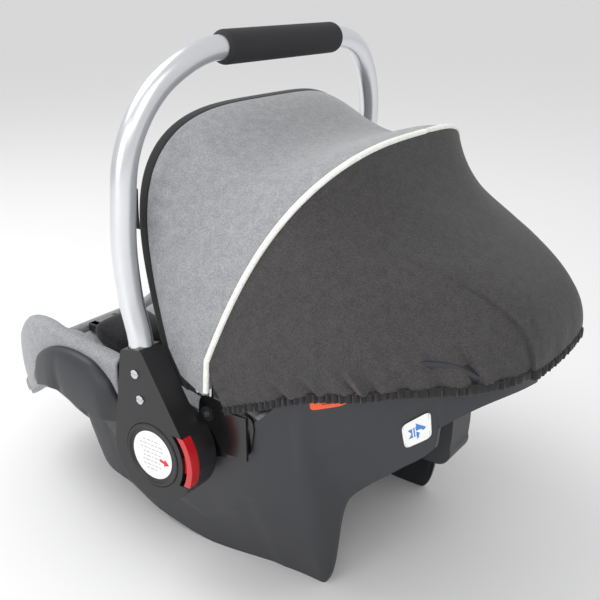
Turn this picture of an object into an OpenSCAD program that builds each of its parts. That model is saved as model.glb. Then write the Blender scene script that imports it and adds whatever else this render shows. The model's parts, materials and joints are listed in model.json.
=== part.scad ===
// Infant car seat with carry handle, folding canopy and harness.
// Millimetres. +X is the child's left, +Y the head end, +Z up.
// Origin: centre of the overall length and width, on the surface it stands on.

/* [Shell] */
// Foot end of the shell to the handle pivot
foot_len = 345; // [310:1:420]
// Handle pivot to the head end of the shell
head_len = 309; // [280:1:370]
// Half width of the shell's rim beside the handle pivot
rim_half_w = 180; // [168:1:182]
// Half width of the shell's rim under the canopy
canopy_half_w = 182; // [176:1:183]
// Half width between the outer faces of the rockers
rocker_half_w = 128; // [110:1:145]
// Rim height at the middle of the foot end
foot_rim_z = 140; // [130:1:165]
// Height of the crest of the foot wings
wing_rim_z = 230; // [215:1:250]
// Rim height beside the handle pivot
pivot_rim_z = 212; // [206:1:220]
// Height of the head end's crest
head_rim_z = 338; // [315:1:360]
// Lowest height of the bucket's underside above the floor
bucket_z = 46; // [36:1:60]
// Wall of the moulded shell
wall = 4; // [3:0.5:5]

/* [Handle] */
// Handle pivot, along the length
pivot_y = 20; // [10:1:30]
// Handle pivot, above the floor
pivot_z = 162; // [150:1:172]
// Radius of the round hubs
hub_r = 50; // [44:1:54]
// Outer face of the hubs from the centre plane
hub_face_x = 221; // [214:1:230]
// Centre line of the handle tube's legs from the centre plane
leg_x = 209; // [207:1:214]
// Centre line of the handle's top bar above the floor
bar_z = 534; // [520:1:600]
// Diameter of the handle tube
tube_d = 23.5; // [20:0.5:26]
// Wall of the handle tube
tube_wall = 2; // [1.5:0.5:3]
// Bend radius of the handle's top corners
bend_r = 112; // [90:1:125]
// Length of the foam grip
grip_len = 193; // [140:1:200]
// Diameter of the foam grip
grip_d = 32.5; // [30:0.5:36]
// Travel of the red release buttons
button_travel = 4; // [3:0.5:5]

/* [Canopy] */
// Canopy pivot, along the length
canopy_y = 63; // [60:1:66]
// Canopy pivot, above the floor
canopy_z = 206; // [203:1:209]
// Reach of the rear bow from its pivot to its crown
rear_reach = 273; // [250:1:290]
// Angle of the rear bow above the horizontal
rear_angle = 66; // [60:1:68]
// Reach of the front bow from its pivot to its crown
front_reach = 281; // [250:1:290]
// Angle of the front bow's crown above the horizontal
front_angle = 104; // [98:1:106]
// Thickness of the canopy's cloth, as a closed solid
cloth = 2; // [1.5:0.5:3]
// Diameter of the bow wires
bow_d = 5; // [4:0.5:6]

/* [Padding and harness] */
// Thickness of the foam liner
liner_t = 12; // [8:1:16]
// Thickness of the seat pad
pad_t = 18; // [12:1:22]
// Width of the harness webbing
web_w = 38; // [30:1:40]
// Thickness of the harness webbing
web_t = 1.6; // [1.2:0.2:2.4]

/* [Hidden] */

shell_black = [0.27, 0.27, 0.28];
trim_black = [0.12, 0.12, 0.13];
light_cloth = [0.59, 0.59, 0.60];
dark_cloth = [0.28, 0.28, 0.28];
silver = [0.80, 0.80, 0.82];
white = [0.94, 0.94, 0.93];
red = [0.80, 0.08, 0.10];
orange = [0.94, 0.36, 0.16];

gap = 0.4;             // clearance between neighbouring pieces
pin_r = 3;             // canopy pins
pin_fit = 0.05;        // running clearance of the canopy pins
bolt_r = 8;            // handle pivot bolts
bolt_fit = 0.05;       // running clearance of the handle on its bolts

// ---------- curves ----------
// Smooth curve through [place, value] pairs.
function span(p, t, i = 0) = (i >= len(p) - 2 || t < p[i + 1][0]) ? i : span(p, t, i + 1);
function slope(p, i) = i == 0 || i == len(p) - 1 ? 0
    : (p[i + 1][1] - p[i - 1][1]) / (p[i + 1][0] - p[i - 1][0]);
function curve(p, t) = let (
    i = span(p, t), h = p[i + 1][0] - p[i][0],
    u = max(0, min(1, (t - p[i][0]) / h)),
    a = 2 * u * u * u - 3 * u * u + 1, b = u * u * u - 2 * u * u + u, c = u * u * u - u * u)
    a * p[i][1] + b * h * slope(p, i) + (1 - a) * p[i + 1][1] + c * h * slope(p, i + 1);
function unit(v) = v / norm(v);

// ---------- the shell's outline ----------
foot_y = pivot_y - foot_len;
head_y = pivot_y + head_len;
// Place along the length as a share of the foot half (negative) or the head half.
function at_foot(s) = pivot_y - s * foot_len;
function at_head(s) = pivot_y + s * head_len;
// How square the foot end and the head end are in plan, and how far each end's curve is run out.
foot_power = 3.2;
head_power = 2.8;
foot_share = 0.984;
head_share = 0.99;
function share(y) = y < pivot_y ? foot_share * (pivot_y - y) / foot_len : head_share * (y - pivot_y) / head_len;
function rounded(y) = let (n = y < pivot_y ? foot_power : head_power)
    pow(1 - pow(min(0.999, share(y)), n), 1 / n);
function rim_x(y) = rounded(y) * curve([[pivot_y, rim_half_w], [at_head(0.25), canopy_half_w]], y);
rim_table = [
    [foot_y, foot_rim_z], [at_foot(0.92), foot_rim_z + 26], [at_foot(0.82), foot_rim_z + 56],
    [at_foot(0.73), wing_rim_z - 10], [at_foot(0.61), wing_rim_z], [at_foot(0.49), wing_rim_z - 4],
    [at_foot(0.22), pivot_rim_z + 6], [pivot_y, pivot_rim_z - 8], [canopy_y, canopy_z - 16],
    [at_head(0.3), canopy_z + 2], [at_head(0.5), head_rim_z - 70],
    [at_head(0.75), head_rim_z - 42], [at_head(0.86), head_rim_z - 42],
    [at_head(0.93), head_rim_z - 58], [head_y, head_rim_z - 65]];
function rim_z(y) = curve(rim_table, y);
belly_table = [
    [foot_y, foot_rim_z - 30], [at_foot(0.85), bucket_z + 50], [at_foot(0.65), bucket_z + 32],
    [at_foot(0.35), bucket_z + 6], [pivot_y, bucket_z], [at_head(0.2), bucket_z + 18],
    [at_head(0.42), bucket_z + 50], [at_head(0.6), bucket_z + 102], [at_head(0.71), bucket_z + 150],
    [at_head(0.8), bucket_z + 184], [at_head(0.9), bucket_z + 208], [head_y, bucket_z + 218]];
function belly_z(y) = curve(belly_table, y);
leg_y = at_head(0.42);      // rear face of the rear legs
panel_y = at_head(0.815);   // rear edge of the side panels
nose_y = at_foot(0.495);    // front edge of the rockers
skirt_table = [
    [foot_y, foot_rim_z - 20], [at_foot(0.8), foot_rim_z - 8], [nose_y - 8, foot_rim_z + 8],
    [nose_y, foot_rim_z - 22], [nose_y + 5, foot_rim_z - 62], [nose_y + 14, 56],
    [nose_y + 38, 42], [nose_y + 88, 16], [pivot_y - 10, 0], [leg_y - 8, 0],
    [leg_y + 4, 5], [leg_y + 12, 30], [leg_y + 19, 84], [leg_y + 26, 110],
    [leg_y + 45, 134], [leg_y + 85, 172], [panel_y, 210], [panel_y + 4, bucket_z + 186],
    [head_y, bucket_z + 212]];
function skirt_z(y) = min(y > pivot_y - 10 && y < leg_y - 8 ? 0 : max(0, curve(skirt_table, y)),
    rim_z(y) - 10);
function skirt_x(y) = min(rim_x(y) - 4, curve([
    [foot_y, rim_half_w], [nose_y - 10, rim_half_w - 14], [nose_y + 6, rocker_half_w + 17],
    [nose_y + 90, rocker_half_w + 7], [pivot_y, rocker_half_w], [leg_y - 20, rocker_half_w - 15],
    [panel_y, rocker_half_w - 4], [panel_y + 6, rim_half_w - 50], [head_y, rim_half_w]], y));
// The side wall, from the rim (0) to the lower edge (1).
side_power = 1.6;
function side_x(y, q) = rim_x(y) + (skirt_x(y) - rim_x(y)) * pow(q, side_power);
function side_z(y, q) = rim_z(y) + (skirt_z(y) - rim_z(y)) * q;
function side_x_at(y, z) = side_x(y, max(0, min(1, (rim_z(y) - z) / (rim_z(y) - skirt_z(y)))));
// Shape of the tub across: a V at the foot end (above 1), a flat-bottomed U further on (below 1).
function tub_power(y) = curve([[foot_y, 1.7], [at_foot(0.75), 1.35], [at_foot(0.5), 0.9],
    [at_foot(0.3), 0.7], [head_y, 0.7]], y);
function join_z(y) = min(rim_z(y) - 8, max(skirt_z(y) + 6, belly_z(y) + 34));
function join_q(y) = (rim_z(y) - join_z(y)) / (rim_z(y) - skirt_z(y));
// A point of the tub's inside, raised by off from the shell's own inner face.
tub_n = 7;
tub_side_n = 3;
function tub_z1(y, off, top) = min(join_z(y) + wall * 1.5 + off, rim_z(y) - max(1, top + 0.5));
function tub_low(y, off, a, top) = let (
    z0 = belly_z(y) + wall + off, z1 = tub_z1(y, off, top),
    x1 = side_x_at(y, z1) - wall - off)
    [x1 * pow(sin(a), tub_power(y)), z0 + (z1 - z0) * (1 - pow(cos(a), tub_power(y)))];
function tub_high(y, off, top, r) = let (
    z1 = tub_z1(y, off, top), z = z1 + (rim_z(y) - top - z1) * r)
    [side_x_at(y, z) - wall - off, z];
function tub(y, off, top) = concat(
    [for (i = [0:tub_n]) tub_low(y, off, 90 * i / tub_n, top)],
    [for (i = [1:tub_side_n]) tub_high(y, off, top, i / tub_side_n)]);
function lid(y) = [for (i = [0:tub_n + tub_side_n])
    [(side_x(y, 0) - wall) * i / (tub_n + tub_side_n), rim_z(y) - 1]];
side_n = 7;
function under(y) = let (x1 = side_x_at(y, join_z(y)) - wall)
    [for (i = [0:tub_n]) [x1 * pow(sin(90 * i / tub_n), tub_power(y)),
        belly_z(y) + (join_z(y) - belly_z(y)) * (1 - pow(cos(90 * i / tub_n), tub_power(y)))]];
function skirt_in(y) = [for (i = [1:2]) let (q = join_q(y) + (1 - join_q(y)) * i / 2)
    [side_x(y, q) - wall, side_z(y, q)]];
function side_out(y) = [for (i = [0:side_n]) [side_x(y, 1 - i / side_n), side_z(y, 1 - i / side_n)]];
function backwards(p) = [for (i = [len(p) - 1:-1:0]) p[i]];
function shell_half(y, closed) = concat(under(y), skirt_in(y), side_out(y),
    backwards(closed ? lid(y) : tub(y, 0, 0)));
// Half outlines run from the centre line's bottom out and back to its top.
function both(half, y) = let (n = len(half)) concat(
    [for (p = half) [p[0], y, p[1]]],
    [for (i = [n - 2:-1:1]) [-half[i][0], y, half[i][1]]]);
shell_ys = [
    foot_y, foot_y + wall, foot_y + wall + 0.5, foot_y + 16, at_foot(0.9), at_foot(0.82),
    at_foot(0.73), at_foot(0.63), at_foot(0.54), nose_y - 7, nose_y - 3, nose_y + 1, nose_y + 5,
    nose_y + 10, nose_y + 20, nose_y + 40, nose_y + 70, nose_y + 105, pivot_y - 10, pivot_y + 15,
    at_head(0.14), at_head(0.24), at_head(0.34), leg_y - 8, leg_y, leg_y + 6, leg_y + 12,
    leg_y + 18, leg_y + 26, leg_y + 38, leg_y + 55, leg_y + 75, leg_y + 100, panel_y - 1,
    panel_y + 4, at_head(0.88), at_head(0.94), head_y];

// ---------- lofting ----------
// Skin through rings of equal length; the ends are closed with their own outlines.
module loft(rings, ccw = true) {
    n = len(rings[0]);
    m = len(rings);
    sides = [for (i = [0:m - 2], j = [0:n - 1])
        let (a = i * n + j, b = i * n + (j + 1) % n, c = b + n, d = a + n)
        each (ccw ? [[a, b, c], [a, c, d]] : [[a, c, b], [a, d, c]])];
    first = [for (j = [0:n - 1]) ccw ? n - 1 - j : j];
    last = [for (j = [0:n - 1]) (m - 1) * n + (ccw ? j : n - 1 - j)];
    polyhedron(points = [for (r = rings) each r], faces = concat(sides, [first, last]),
        convexity = 10);
}
// Ring closed on itself, such as a tube bent round into the next one.
function ring_at(c, n, b, outline) = [for (p = outline) c + n * p[0] + b * p[1]];
function disc(r, k) = [for (i = [0:k - 1]) [r * cos(360 * i / k), r * sin(360 * i / k)]];
function tangent(path, i) = unit(path[min(len(path) - 1, i + 1)] - path[max(0, i - 1)]);
// Outline carried along a path, kept square to a side direction.
function swept(path, outline, side) = [for (i = [0:len(path) - 1]) let (
    t = tangent(path, i), b = unit(cross(t, side)), n = unit(cross(b, t)))
    ring_at(path[i], n, b, outline)];
module tube(path, r, k, side = [1, 0, 0]) loft(swept(path, disc(r, k), side), false);

// ---------- shell ----------
module shell() color(shell_black)
    loft([for (i = [0:len(shell_ys) - 1]) both(shell_half(shell_ys[i], i < 2), shell_ys[i])]);

// Closed band along the tub: from off0 to off1 above the shell's inner face.
function band_ring(y, off0, off1, top) = let (a = tub(y, off0, top), b = tub(y, off1, top), n = len(a))
    concat([for (i = [n - 1:-1:1]) [-a[i][0], y, a[i][1]]], [for (p = a) [p[0], y, p[1]]],
        [for (p = backwards(b)) [p[0], y, p[1]]], [for (i = [1:n - 1]) [-b[i][0], y, b[i][1]]]);
function shell_ys_in(a, b) = concat([a], [for (y = shell_ys) if (y > a + 0.1 && y < b - 0.1) y], [b]);
function ys_between(a, b, n) = [for (i = [0:n]) a + (b - a) * i / n];
cover_t = 3;                // fabric wrapped over the foot end's rim
cover_gap = 3.0;            // room for it to bend round the rim
liner_off = 6.4;            // the liner stands off the shell by this much
pad_off = liner_off + liner_t + 3;
pad_top_off = pad_off + pad_t;
lining_top = 21;            // the lining ends this far below the rim
// Height of the seat pad's upper face at a place.
function pad_top(x, y) = let (
    z1 = tub_z1(y, pad_top_off, lining_top), x1 = side_x_at(y, z1) - wall - pad_top_off,
    z0 = belly_z(y) + wall + pad_top_off,
    u = min(0.95, abs(x) / x1))
    z0 + (z1 - z0) * (1 - pow(1 - pow(u, 2 / tub_power(y)), tub_power(y) / 2));
lining_y0 = at_foot(0.92);
lining_y1 = at_head(0.78);
lining_all = shell_ys_in(lining_y0, lining_y1);
lining_ys = concat([for (i = [0:2:len(lining_all) - 2]) lining_all[i]], [lining_y1]);

module foam_liner() color([0.93, 0.93, 0.93])
    loft([for (y = lining_ys) band_ring(y, liner_off, liner_off + liner_t, lining_top)]);
module seat_pad() color(light_cloth)
    loft([for (y = lining_ys) band_ring(y, pad_off, pad_top_off, lining_top)]);

// ---------- fabric over the foot end ----------
cover_y1 = pivot_y - 82;
cover_bottom = [
    [foot_y, foot_rim_z - 28], [at_foot(0.86), foot_rim_z - 27], [at_foot(0.8), foot_rim_z - 23],
    [at_foot(0.64), foot_rim_z + 10], [nose_y, foot_rim_z + 27], [at_foot(0.34), foot_rim_z + 16],
    [cover_y1, foot_rim_z + 14]];
cover_sides = backwards(concat([foot_y + 0.6], [for (y = shell_ys)
    if (y > foot_y + wall + 1 && y < cover_y1 - 1) y], [cover_y1]));
function cover_normal(y) = let (d = 2, s = (rim_x(y + d) - rim_x(y)) / d) unit([1, -s, 0]);
// How far the wrap hangs down inside the rim.
cover_lip = [[foot_y, 4], [at_foot(0.86), 5], [at_foot(0.72), 12], [cover_y1, 12]];
// Section of the wrap at the shell's side: down the outside, over the rim, down the inside.
function cover_ring(y) = let (
    n = cover_normal(y), zt = rim_z(y), zb = curve(cover_bottom, y), k = 3,
    zl = zt - curve(cover_lip, y),
    o = function (r, z) [side_x_at(y, z), y, z] + n * r, inner = -wall - cover_gap - gap)
    concat([for (i = [0:k]) o(cover_gap + cover_t, zb + (zt - zb) * i / k)],
        [o(cover_gap + cover_t / 2, zt + cover_gap + cover_t), o(inner - cover_t / 2, zt + cover_gap + cover_t),
            o(inner - cover_t, zt), [o(0, zl)[0], y, zl] + n * (inner - cover_t),
            [o(0, zl)[0], y, zl] + n * inner, [o(0, zt)[0], y, zt + cover_gap] + n * inner,
            o(cover_gap, zt + cover_gap)],
        [for (i = [k:-1:0]) o(cover_gap, min(zt, zb + (zt - zb) * i / k))]);
function front_ring(x) = let (k = 3, zt = rim_z(foot_y), zb = curve(cover_bottom, foot_y),
    o = function (r, z) [x, foot_y - r, z], inner = -wall - cover_gap)
    concat([for (i = [0:k]) o(cover_gap + cover_t, zb + (zt - zb) * i / k)],
        [o(cover_gap + cover_t / 2, zt + cover_gap + cover_t), o(inner - cover_t / 2, zt + cover_gap + cover_t),
            o(inner - cover_t, zt), o(inner - cover_t, zt - cover_lip[0][1]), o(inner, zt - cover_lip[0][1]),
            o(inner, zt + cover_gap), o(cover_gap, zt + cover_gap)],
        [for (i = [k:-1:0]) o(cover_gap, min(zt, zb + (zt - zb) * i / k))]);
front_half_w = rim_x(foot_y + 1) - 8;
function flip(ring) = [for (p = ring) [-p[0], p[1], p[2]]];
cover_right = [for (y = cover_sides) cover_ring(y)];
module foot_cover() color(light_cloth)
    loft(concat(cover_right, [for (i = [0:4]) front_ring(front_half_w * (1 - i / 2))],
        [for (r = backwards(cover_right)) flip(r)]), false);

// ---------- belt guides ----------
guide_y0 = at_foot(0.69);
guide_y1 = pivot_y - 76;
guide_top = [[guide_y0, 172], [guide_y0 + 18, 197], [guide_y0 + 65, 219], [guide_y1 - 45, 219],
    [guide_y1 - 17, 202], [guide_y1, 178]];
guide_bottom = [[guide_y0, 157], [guide_y0 + 54, 170], [guide_y1 - 42, 158], [guide_y1, 157]];
guide_depth = [[guide_y0, 7], [guide_y0 + 22, 13], [guide_y1 - 30, 15], [guide_y1, 7.5]];
guide_t = 3;
function guide_x(y, z) = side_x_at(y, z) + cover_gap + cover_t + 1;
// Half of the guide's section: out from its top edge and down to its open lower edge.
guide_arc_steps = [0, 18, 36, 54, 72, 90];
function guide_arc(y, d, low, high) = [for (a = guide_arc_steps) let (z = low + (high - low) * sin(a))
    [guide_x(y, z) + d * cos(a), y, z]];
function guide_ring(y) = let (d = curve(guide_depth, y), low = curve(guide_bottom, y),
    high = curve(guide_top, y))
    concat(guide_arc(y, d, low, high), backwards(guide_arc(y, d - guide_t, low, high - guide_t)));
module lap_guide() color(shell_black)
    loft([for (y = ys_between(guide_y0, guide_y1, 16)) guide_ring(y)]);
module lap_guide_left() lap_guide();
module lap_guide_right() mirror([1, 0, 0]) lap_guide();

hook_half_w = 22;
hook_y0 = at_head(0.67);
hook_y1 = at_head(0.72);
module shoulder_belt_hook() color(shell_black)
    translate([-hook_half_w, 0, 0]) rotate([90, 0, 90]) linear_extrude(2 * hook_half_w)
        difference() {
            union() {
                polygon([[hook_y0, 140], [hook_y1 - 3, 138], [hook_y1 - 1, 160],
                    [hook_y1, belly_z(hook_y1) - 1.5], [hook_y0, belly_z(hook_y0) - 1.5]]);
                translate([hook_y0 - 2, 142]) circle(16, $fn = 48);
                polygon([[hook_y0 - 27, 127], [hook_y0, 126.2], [hook_y0, 138],
                    [hook_y0 - 20, 135], [hook_y0 - 21, 139], [hook_y0 - 26, 139]]);
            }
            translate([hook_y0 - 15, 147]) circle(8, $fn = 48);
        }

// ---------- handle pivots ----------
boss_r = 43;
boss_x = 183.5;
function boss_ring(r) = [for (a = [0:15:345]) let (y = pivot_y + r * cos(a), z = pivot_z + r * sin(a))
    [side_x_at(y, z) + 0.8, y, z]];
boss_face = [for (a = [0:15:345]) [boss_x, pivot_y + boss_r * cos(a), pivot_z + boss_r * sin(a)]];
module pivot_boss() color(trim_black)
    loft(concat([boss_face], [for (r = [boss_r, 33, 22, 11, 2]) boss_ring(r)]));
module pivot_boss_left() pivot_boss();
module pivot_boss_right() mirror([1, 0, 0]) pivot_boss();
hub_x0 = boss_x + 1;
arm_x0 = 193.5;
cap_depth = 3;
module along_x(x0, x1, y = 0, z = 0) translate([x0, y, z]) rotate([90, 0, 90])
    linear_extrude(x1 - x0) children();
module sides() { children(); mirror([1, 0, 0]) children(); }
module pivot_bolts() color(silver) sides()
    along_x(boss_x, hub_face_x - cap_depth - 1, pivot_y, pivot_z) circle(bolt_r, $fn = 64);

// ---------- handle ----------
// The tube's lean towards the foot end, over its height.
socket_z = 268;
arm_angle = atan2(pivot_y, socket_z - pivot_z);
lean = [[socket_z, 0], [socket_z + 45, -8], [362, -11], [bar_z - 120, -6], [bar_z - 70, 0],
    [bar_z - 30, 7], [bar_z, 15]];
toe_in = 2;        // the legs close up by this much at their sockets
tube_r = tube_d / 2;
function tube_y(z) = z > socket_z ? curve(lean, z) + (z < socket_z + 45
    ? (socket_z + 45 - z) * 0.02 : 0) : (socket_z - z) * tan(arm_angle);
function leg_at(z) = let (t = max(0, min(1, (z - socket_z) / 150))) leg_x - toe_in * (1 - t * t * (3 - 2 * t));
leg_zs = concat([pivot_z + 62, socket_z], ys_between(socket_z + 18, bar_z - bend_r, 6));
half_path = concat([for (z = leg_zs) [leg_at(z), tube_y(z), z]],
    [for (a = [9:9:81]) let (z = bar_z - bend_r * (1 - sin(a)))
        [leg_x - bend_r * (1 - cos(a)), tube_y(z), z]],
    [[leg_x - bend_r, tube_y(bar_z), bar_z], [20, tube_y(bar_z), bar_z]]);
handle_path = concat(half_path, [for (p = backwards(half_path)) [-p[0], p[1], p[2]]]);
tube_sides = 16;
// Hollow tube: out along the outside and back along the bore, as one closed skin.
module hollow(path, r0, r1, k) {
    rings = concat(swept(path, disc(r0, k), [0, 1, 0]), backwards(swept(path, disc(r1, k), [0, 1, 0])));
    n = k;
    m = len(rings);
    polyhedron(points = [for (r = rings) each r], faces = [for (i = [0:m - 1], j = [0:n - 1])
        let (a = i * n + j, b = i * n + (j + 1) % n, c = ((i + 1) % m) * n + (j + 1) % n,
            d = ((i + 1) % m) * n + j) each [[a, c, b], [a, d, c]]], convexity = 10);
}
module handle_tube() color(silver) hollow(handle_path, tube_r, tube_r - tube_wall, tube_sides);
grip_round = 5;
module handle_grip() color([0.11, 0.11, 0.12]) translate([0, tube_y(bar_z), bar_z]) rotate([0, 90, 0]) {
    h = min(grip_len / 2, leg_x - bend_r - 1.5);
    r = grip_d / 2;
    difference() {
        union() {
            cylinder(h = 2 * (h - grip_round), r = r, center = true, $fn = 96);
            for (s = [-1, 1]) translate([0, 0, s > 0 ? h - grip_round : grip_round - h])
                mirror([0, 0, s > 0 ? 0 : 1]) cylinder(h = grip_round, r1 = r, r2 = r - grip_round * 0.6, $fn = 96);
        }
        cylinder(h = 2 * h + 2, r = tube_r + 0.5, center = true, $fn = 96);
    }
}

arm_len = norm([pivot_y, socket_z - pivot_z]);
socket_half = 15;
button_x0 = 210;
button_low = -21;
button_high = 30;
button_stand = 1;
crescent_r = 44.5;     // inner radius of the button's crescent
stem_y = 36.5;         // the stem behind it starts here
stem_half_z = 8;
stem_w = 7.6;
cap_r = 34;
module arm_outline() {
    circle(hub_r, $fn = 120);
    rotate(arm_angle) {
        k = (hub_r - socket_half) / arm_len;
        polygon([[hub_r * sqrt(1 - k * k), hub_r * k], [socket_half, arm_len - socket_half * 0.2],
            [socket_half - 3, arm_len], [3 - socket_half, arm_len],
            [-socket_half, arm_len - socket_half * 0.2], [-hub_r * sqrt(1 - k * k), hub_r * k]]);
    }
}
screw_places = [58, 84];
screw_r = 4.6;
module handle_arm() color(trim_black) difference() {
    union() {
        along_x(hub_x0, hub_face_x, pivot_y, pivot_z) circle(hub_r, $fn = 120);
        along_x(arm_x0, hub_face_x, pivot_y, pivot_z) arm_outline();
    }
    // bore for the tube, along the arm
    translate([leg_at(socket_z), tube_y(socket_z), socket_z]) rotate([arm_angle, 0, 0])
        translate([0, 0, -(socket_z - pivot_z - 62) / cos(arm_angle) - 1])
            cylinder(r = tube_r + 0.35, h = 80, $fn = 72);
    along_x(hub_x0 - 1, hub_face_x + 1, pivot_y, pivot_z) circle(bolt_r + bolt_fit, $fn = 64);
    along_x(hub_face_x - cap_depth, hub_face_x + 1, pivot_y, pivot_z) circle(cap_r, $fn = 96);
    // pocket of the release button: its crescent, its stem and its spring
    difference() {
        translate([button_x0 - gap, pivot_y, pivot_z + button_low - gap])
            cube([60, 60, button_high - button_low + 2 * gap]);
        along_x(button_x0 - 1, hub_face_x + 1, pivot_y - button_travel - gap, pivot_z)
            circle(crescent_r - gap, $fn = 120);
    }
    translate([button_x0 - gap, pivot_y + stem_y - button_travel - 5, pivot_z - stem_half_z - gap])
        cube([stem_w + 2 * gap, 18, 2 * (stem_half_z + gap)]);
}
module handle_arm_left() handle_arm();
module handle_arm_right() mirror([1, 0, 0]) handle_arm();
module arm_screws() color(silver) sides() for (d = screw_places)
    translate([hub_face_x, pivot_y - d * sin(arm_angle), pivot_z + d * cos(arm_angle)])
        rotate([0, 90, 0]) difference() {
            cylinder(r = screw_r, h = 1.4, $fn = 48);
            translate([-0.6, -screw_r, 0.6]) cube([1.2, 2 * screw_r, 2]);
        }
label_r = 25;
label_t = 0.3;
module hub_cap() color(trim_black) along_x(hub_face_x - cap_depth + 0.2, hub_face_x - 0.6, pivot_y, pivot_z)
    circle(cap_r - gap, $fn = 96);
module hub_cap_left() hub_cap();
module hub_cap_right() mirror([1, 0, 0]) hub_cap();
module hub_label() color(white) along_x(hub_face_x - 0.6, hub_face_x - 0.6 + label_t, pivot_y, pivot_z)
    circle(label_r, $fn = 96);
module hub_label_left() hub_label();
module hub_label_right() mirror([1, 0, 0]) hub_label();
module release_button() color(red) {
    intersection() {
        along_x(button_x0, hub_face_x - 0.5, pivot_y, pivot_z) difference() {
            circle(hub_r + button_stand, $fn = 120);
            circle(crescent_r, $fn = 120);
        }
        translate([0, pivot_y, pivot_z + button_low]) cube([hub_face_x, 2 * hub_r, button_high - button_low]);
    }
    translate([button_x0, pivot_y + stem_y, pivot_z - stem_half_z])
        cube([stem_w, crescent_r - stem_y + 1, 2 * stem_half_z]);
}
module release_button_left() release_button();
module release_button_right() mirror([1, 0, 0]) release_button();
spring_r = 3.3;
module release_spring() color(silver)
    translate([button_x0 + stem_w / 2, pivot_y + stem_y - 0.2, pivot_z])
        rotate([90, 0, 0]) difference() {
            cylinder(r = spring_r, h = button_travel + 4.5, $fn = 48);
            translate([0, 0, -1]) cylinder(r = spring_r - 1, h = 20, $fn = 48);
        }
module release_spring_left() release_spring();
module release_spring_right() mirror([1, 0, 0]) release_spring();

// ---------- canopy ----------
bow_half_w = 189;
rear_power = 3.3;
front_power = 4.1;
// How far each bow bellies ahead of its own plane, and how sharply it does so.
rear_belly = [21, 5, 1];
front_belly = [32, 5.7, 0.5];
belly_start = 62;      // the belly fades in over this distance from the pivot
function belly(r, reach, b) = b[0] * (1 - pow(r / reach, b[1])) * pow(min(1, r / belly_start), b[2]);
mount_x = canopy_half_w + 2.4;
eye_r = 7.5;
eye_t = 1.6;
eye_rear_x = mount_x + 0.3;
eye_front_x = eye_rear_x + eye_t + 0.3;
pin_x1 = eye_front_x + eye_t + 0.6;
function sgn(a) = a < 0 ? -1 : 1;
function arch_x(a, n, w) = w * sgn(a) * pow(abs(sin(a)), 2 / n);
function arch_r(a, n, r) = r * pow(abs(cos(a)), 2 / n);
function bow_at(a, w, reach, angle, power, b) = let (r = arch_r(a, power, reach))
    [arch_x(a, power, w), canopy_y + r * cos(angle) - belly(r, reach, b), canopy_z + r * sin(angle)];
function rear_at(a, w = bow_half_w, reach = rear_reach) =
    bow_at(a, w, reach, rear_angle, rear_power, rear_belly);
function front_at(a, w = bow_half_w, reach = front_reach) =
    bow_at(a, w, reach, front_angle, front_power, front_belly);
function arch_angles(a1, n) = [for (i = [-n:n]) let (t = i / n) a1 * sgn(t) * (1 - pow(1 - abs(t), 1.6))];

mount_y1 = canopy_y + 46;
module canopy_mount() color(trim_black) difference() {
    union() {
        translate([mount_x - 9, canopy_y - 9, canopy_z - 12]) cube([9, 21, 22]);
        translate([mount_x - 1.8, canopy_y - 9, canopy_z - 12]) cube([1.8, mount_y1 - canopy_y + 9, 22]);
        translate([mount_x - 1.8, canopy_y + 16, canopy_z - 38]) cube([3.4, 30, 46]);
    }
    along_x(mount_x - 20, mount_x + 1, canopy_y, canopy_z) circle(pin_r, $fn = 48);
}
module canopy_mount_left() canopy_mount();
module canopy_mount_right() mirror([1, 0, 0]) canopy_mount();
module canopy_pins() color(silver) sides()
    along_x(mount_x - 9, pin_x1, canopy_y, canopy_z) circle(pin_r, $fn = 48);
module bow_eye(x) sides() along_x(x, x + eye_t, canopy_y, canopy_z) difference() {
    circle(eye_r, $fn = 48);
    circle(pin_r + pin_fit, $fn = 48);
}
bow_r = bow_d / 2;
// A bow's wire runs inside its cloth and stops at its end piece.
function wire_path(f, inset, a1, n) = [for (a = arch_angles(a1, n)) f(a, inset)];
module rear_bow() color(silver)
    tube(wire_path(function (a, k) rear_at(a, bow_half_w - k, rear_reach - k), 7, 89.3, 22),
        bow_r, 8, [1, 0, 0.01]);
module front_bow() color(silver)
    tube(wire_path(function (a, k) front_at(a, bow_half_w - k, front_reach - k) + [0, 7, 0], 7, 89.8, 22),
        bow_r, 8, [1, 0, 0.01]);
module rear_bow_ends() color(trim_black) bow_eye(eye_rear_x);
module front_bow_ends() color(trim_black) bow_eye(eye_front_x);
piping_r = 2.8;
module rear_piping() color(white)
    tube([for (a = arch_angles(88.6, 26)) rear_at(a, bow_half_w + 0.6, rear_reach + 1)],
        piping_r, 8, [1, 0, 0.01]);
module front_binding() color(trim_black)
    tube([for (a = arch_angles(89.6, 26)) front_at(a)], 2, 8, [1, 0, 0.01]);
// Cloth between two arches, as a thin closed skin; the inside is the same surface drawn in.
function skin_ring(outer, shrink) = let (c = [0, canopy_y + 20, canopy_z + 30])
    concat(outer, backwards([for (p = outer) p + unit(c - p) * shrink]));
panel_steps = 8;
saddle = 24;           // the cloth sags this far between the bows at the crown
function light_at(a, v) = let (p = front_at(a) + unit(rear_at(a) - front_at(a)) * 3.4,
    q = rear_at(a) - unit(rear_at(a) - front_at(a)) * 3.4)
    p + (q - p) * v - [0, 0, saddle * 16 * pow(v * (1 - v), 2) * pow(cos(a), 2)];
module canopy_front_panel() color(light_cloth)
    loft([for (a = arch_angles(88, 20)) skin_ring([for (i = [0:panel_steps])
        light_at(a, i / panel_steps)], cloth)]);
tag_z = 396;
module canopy_tag() color(trim_black)
    translate([bow_half_w + 0.6, canopy_y - 80, tag_z - 19]) cube([1, 8, 38]);

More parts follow.
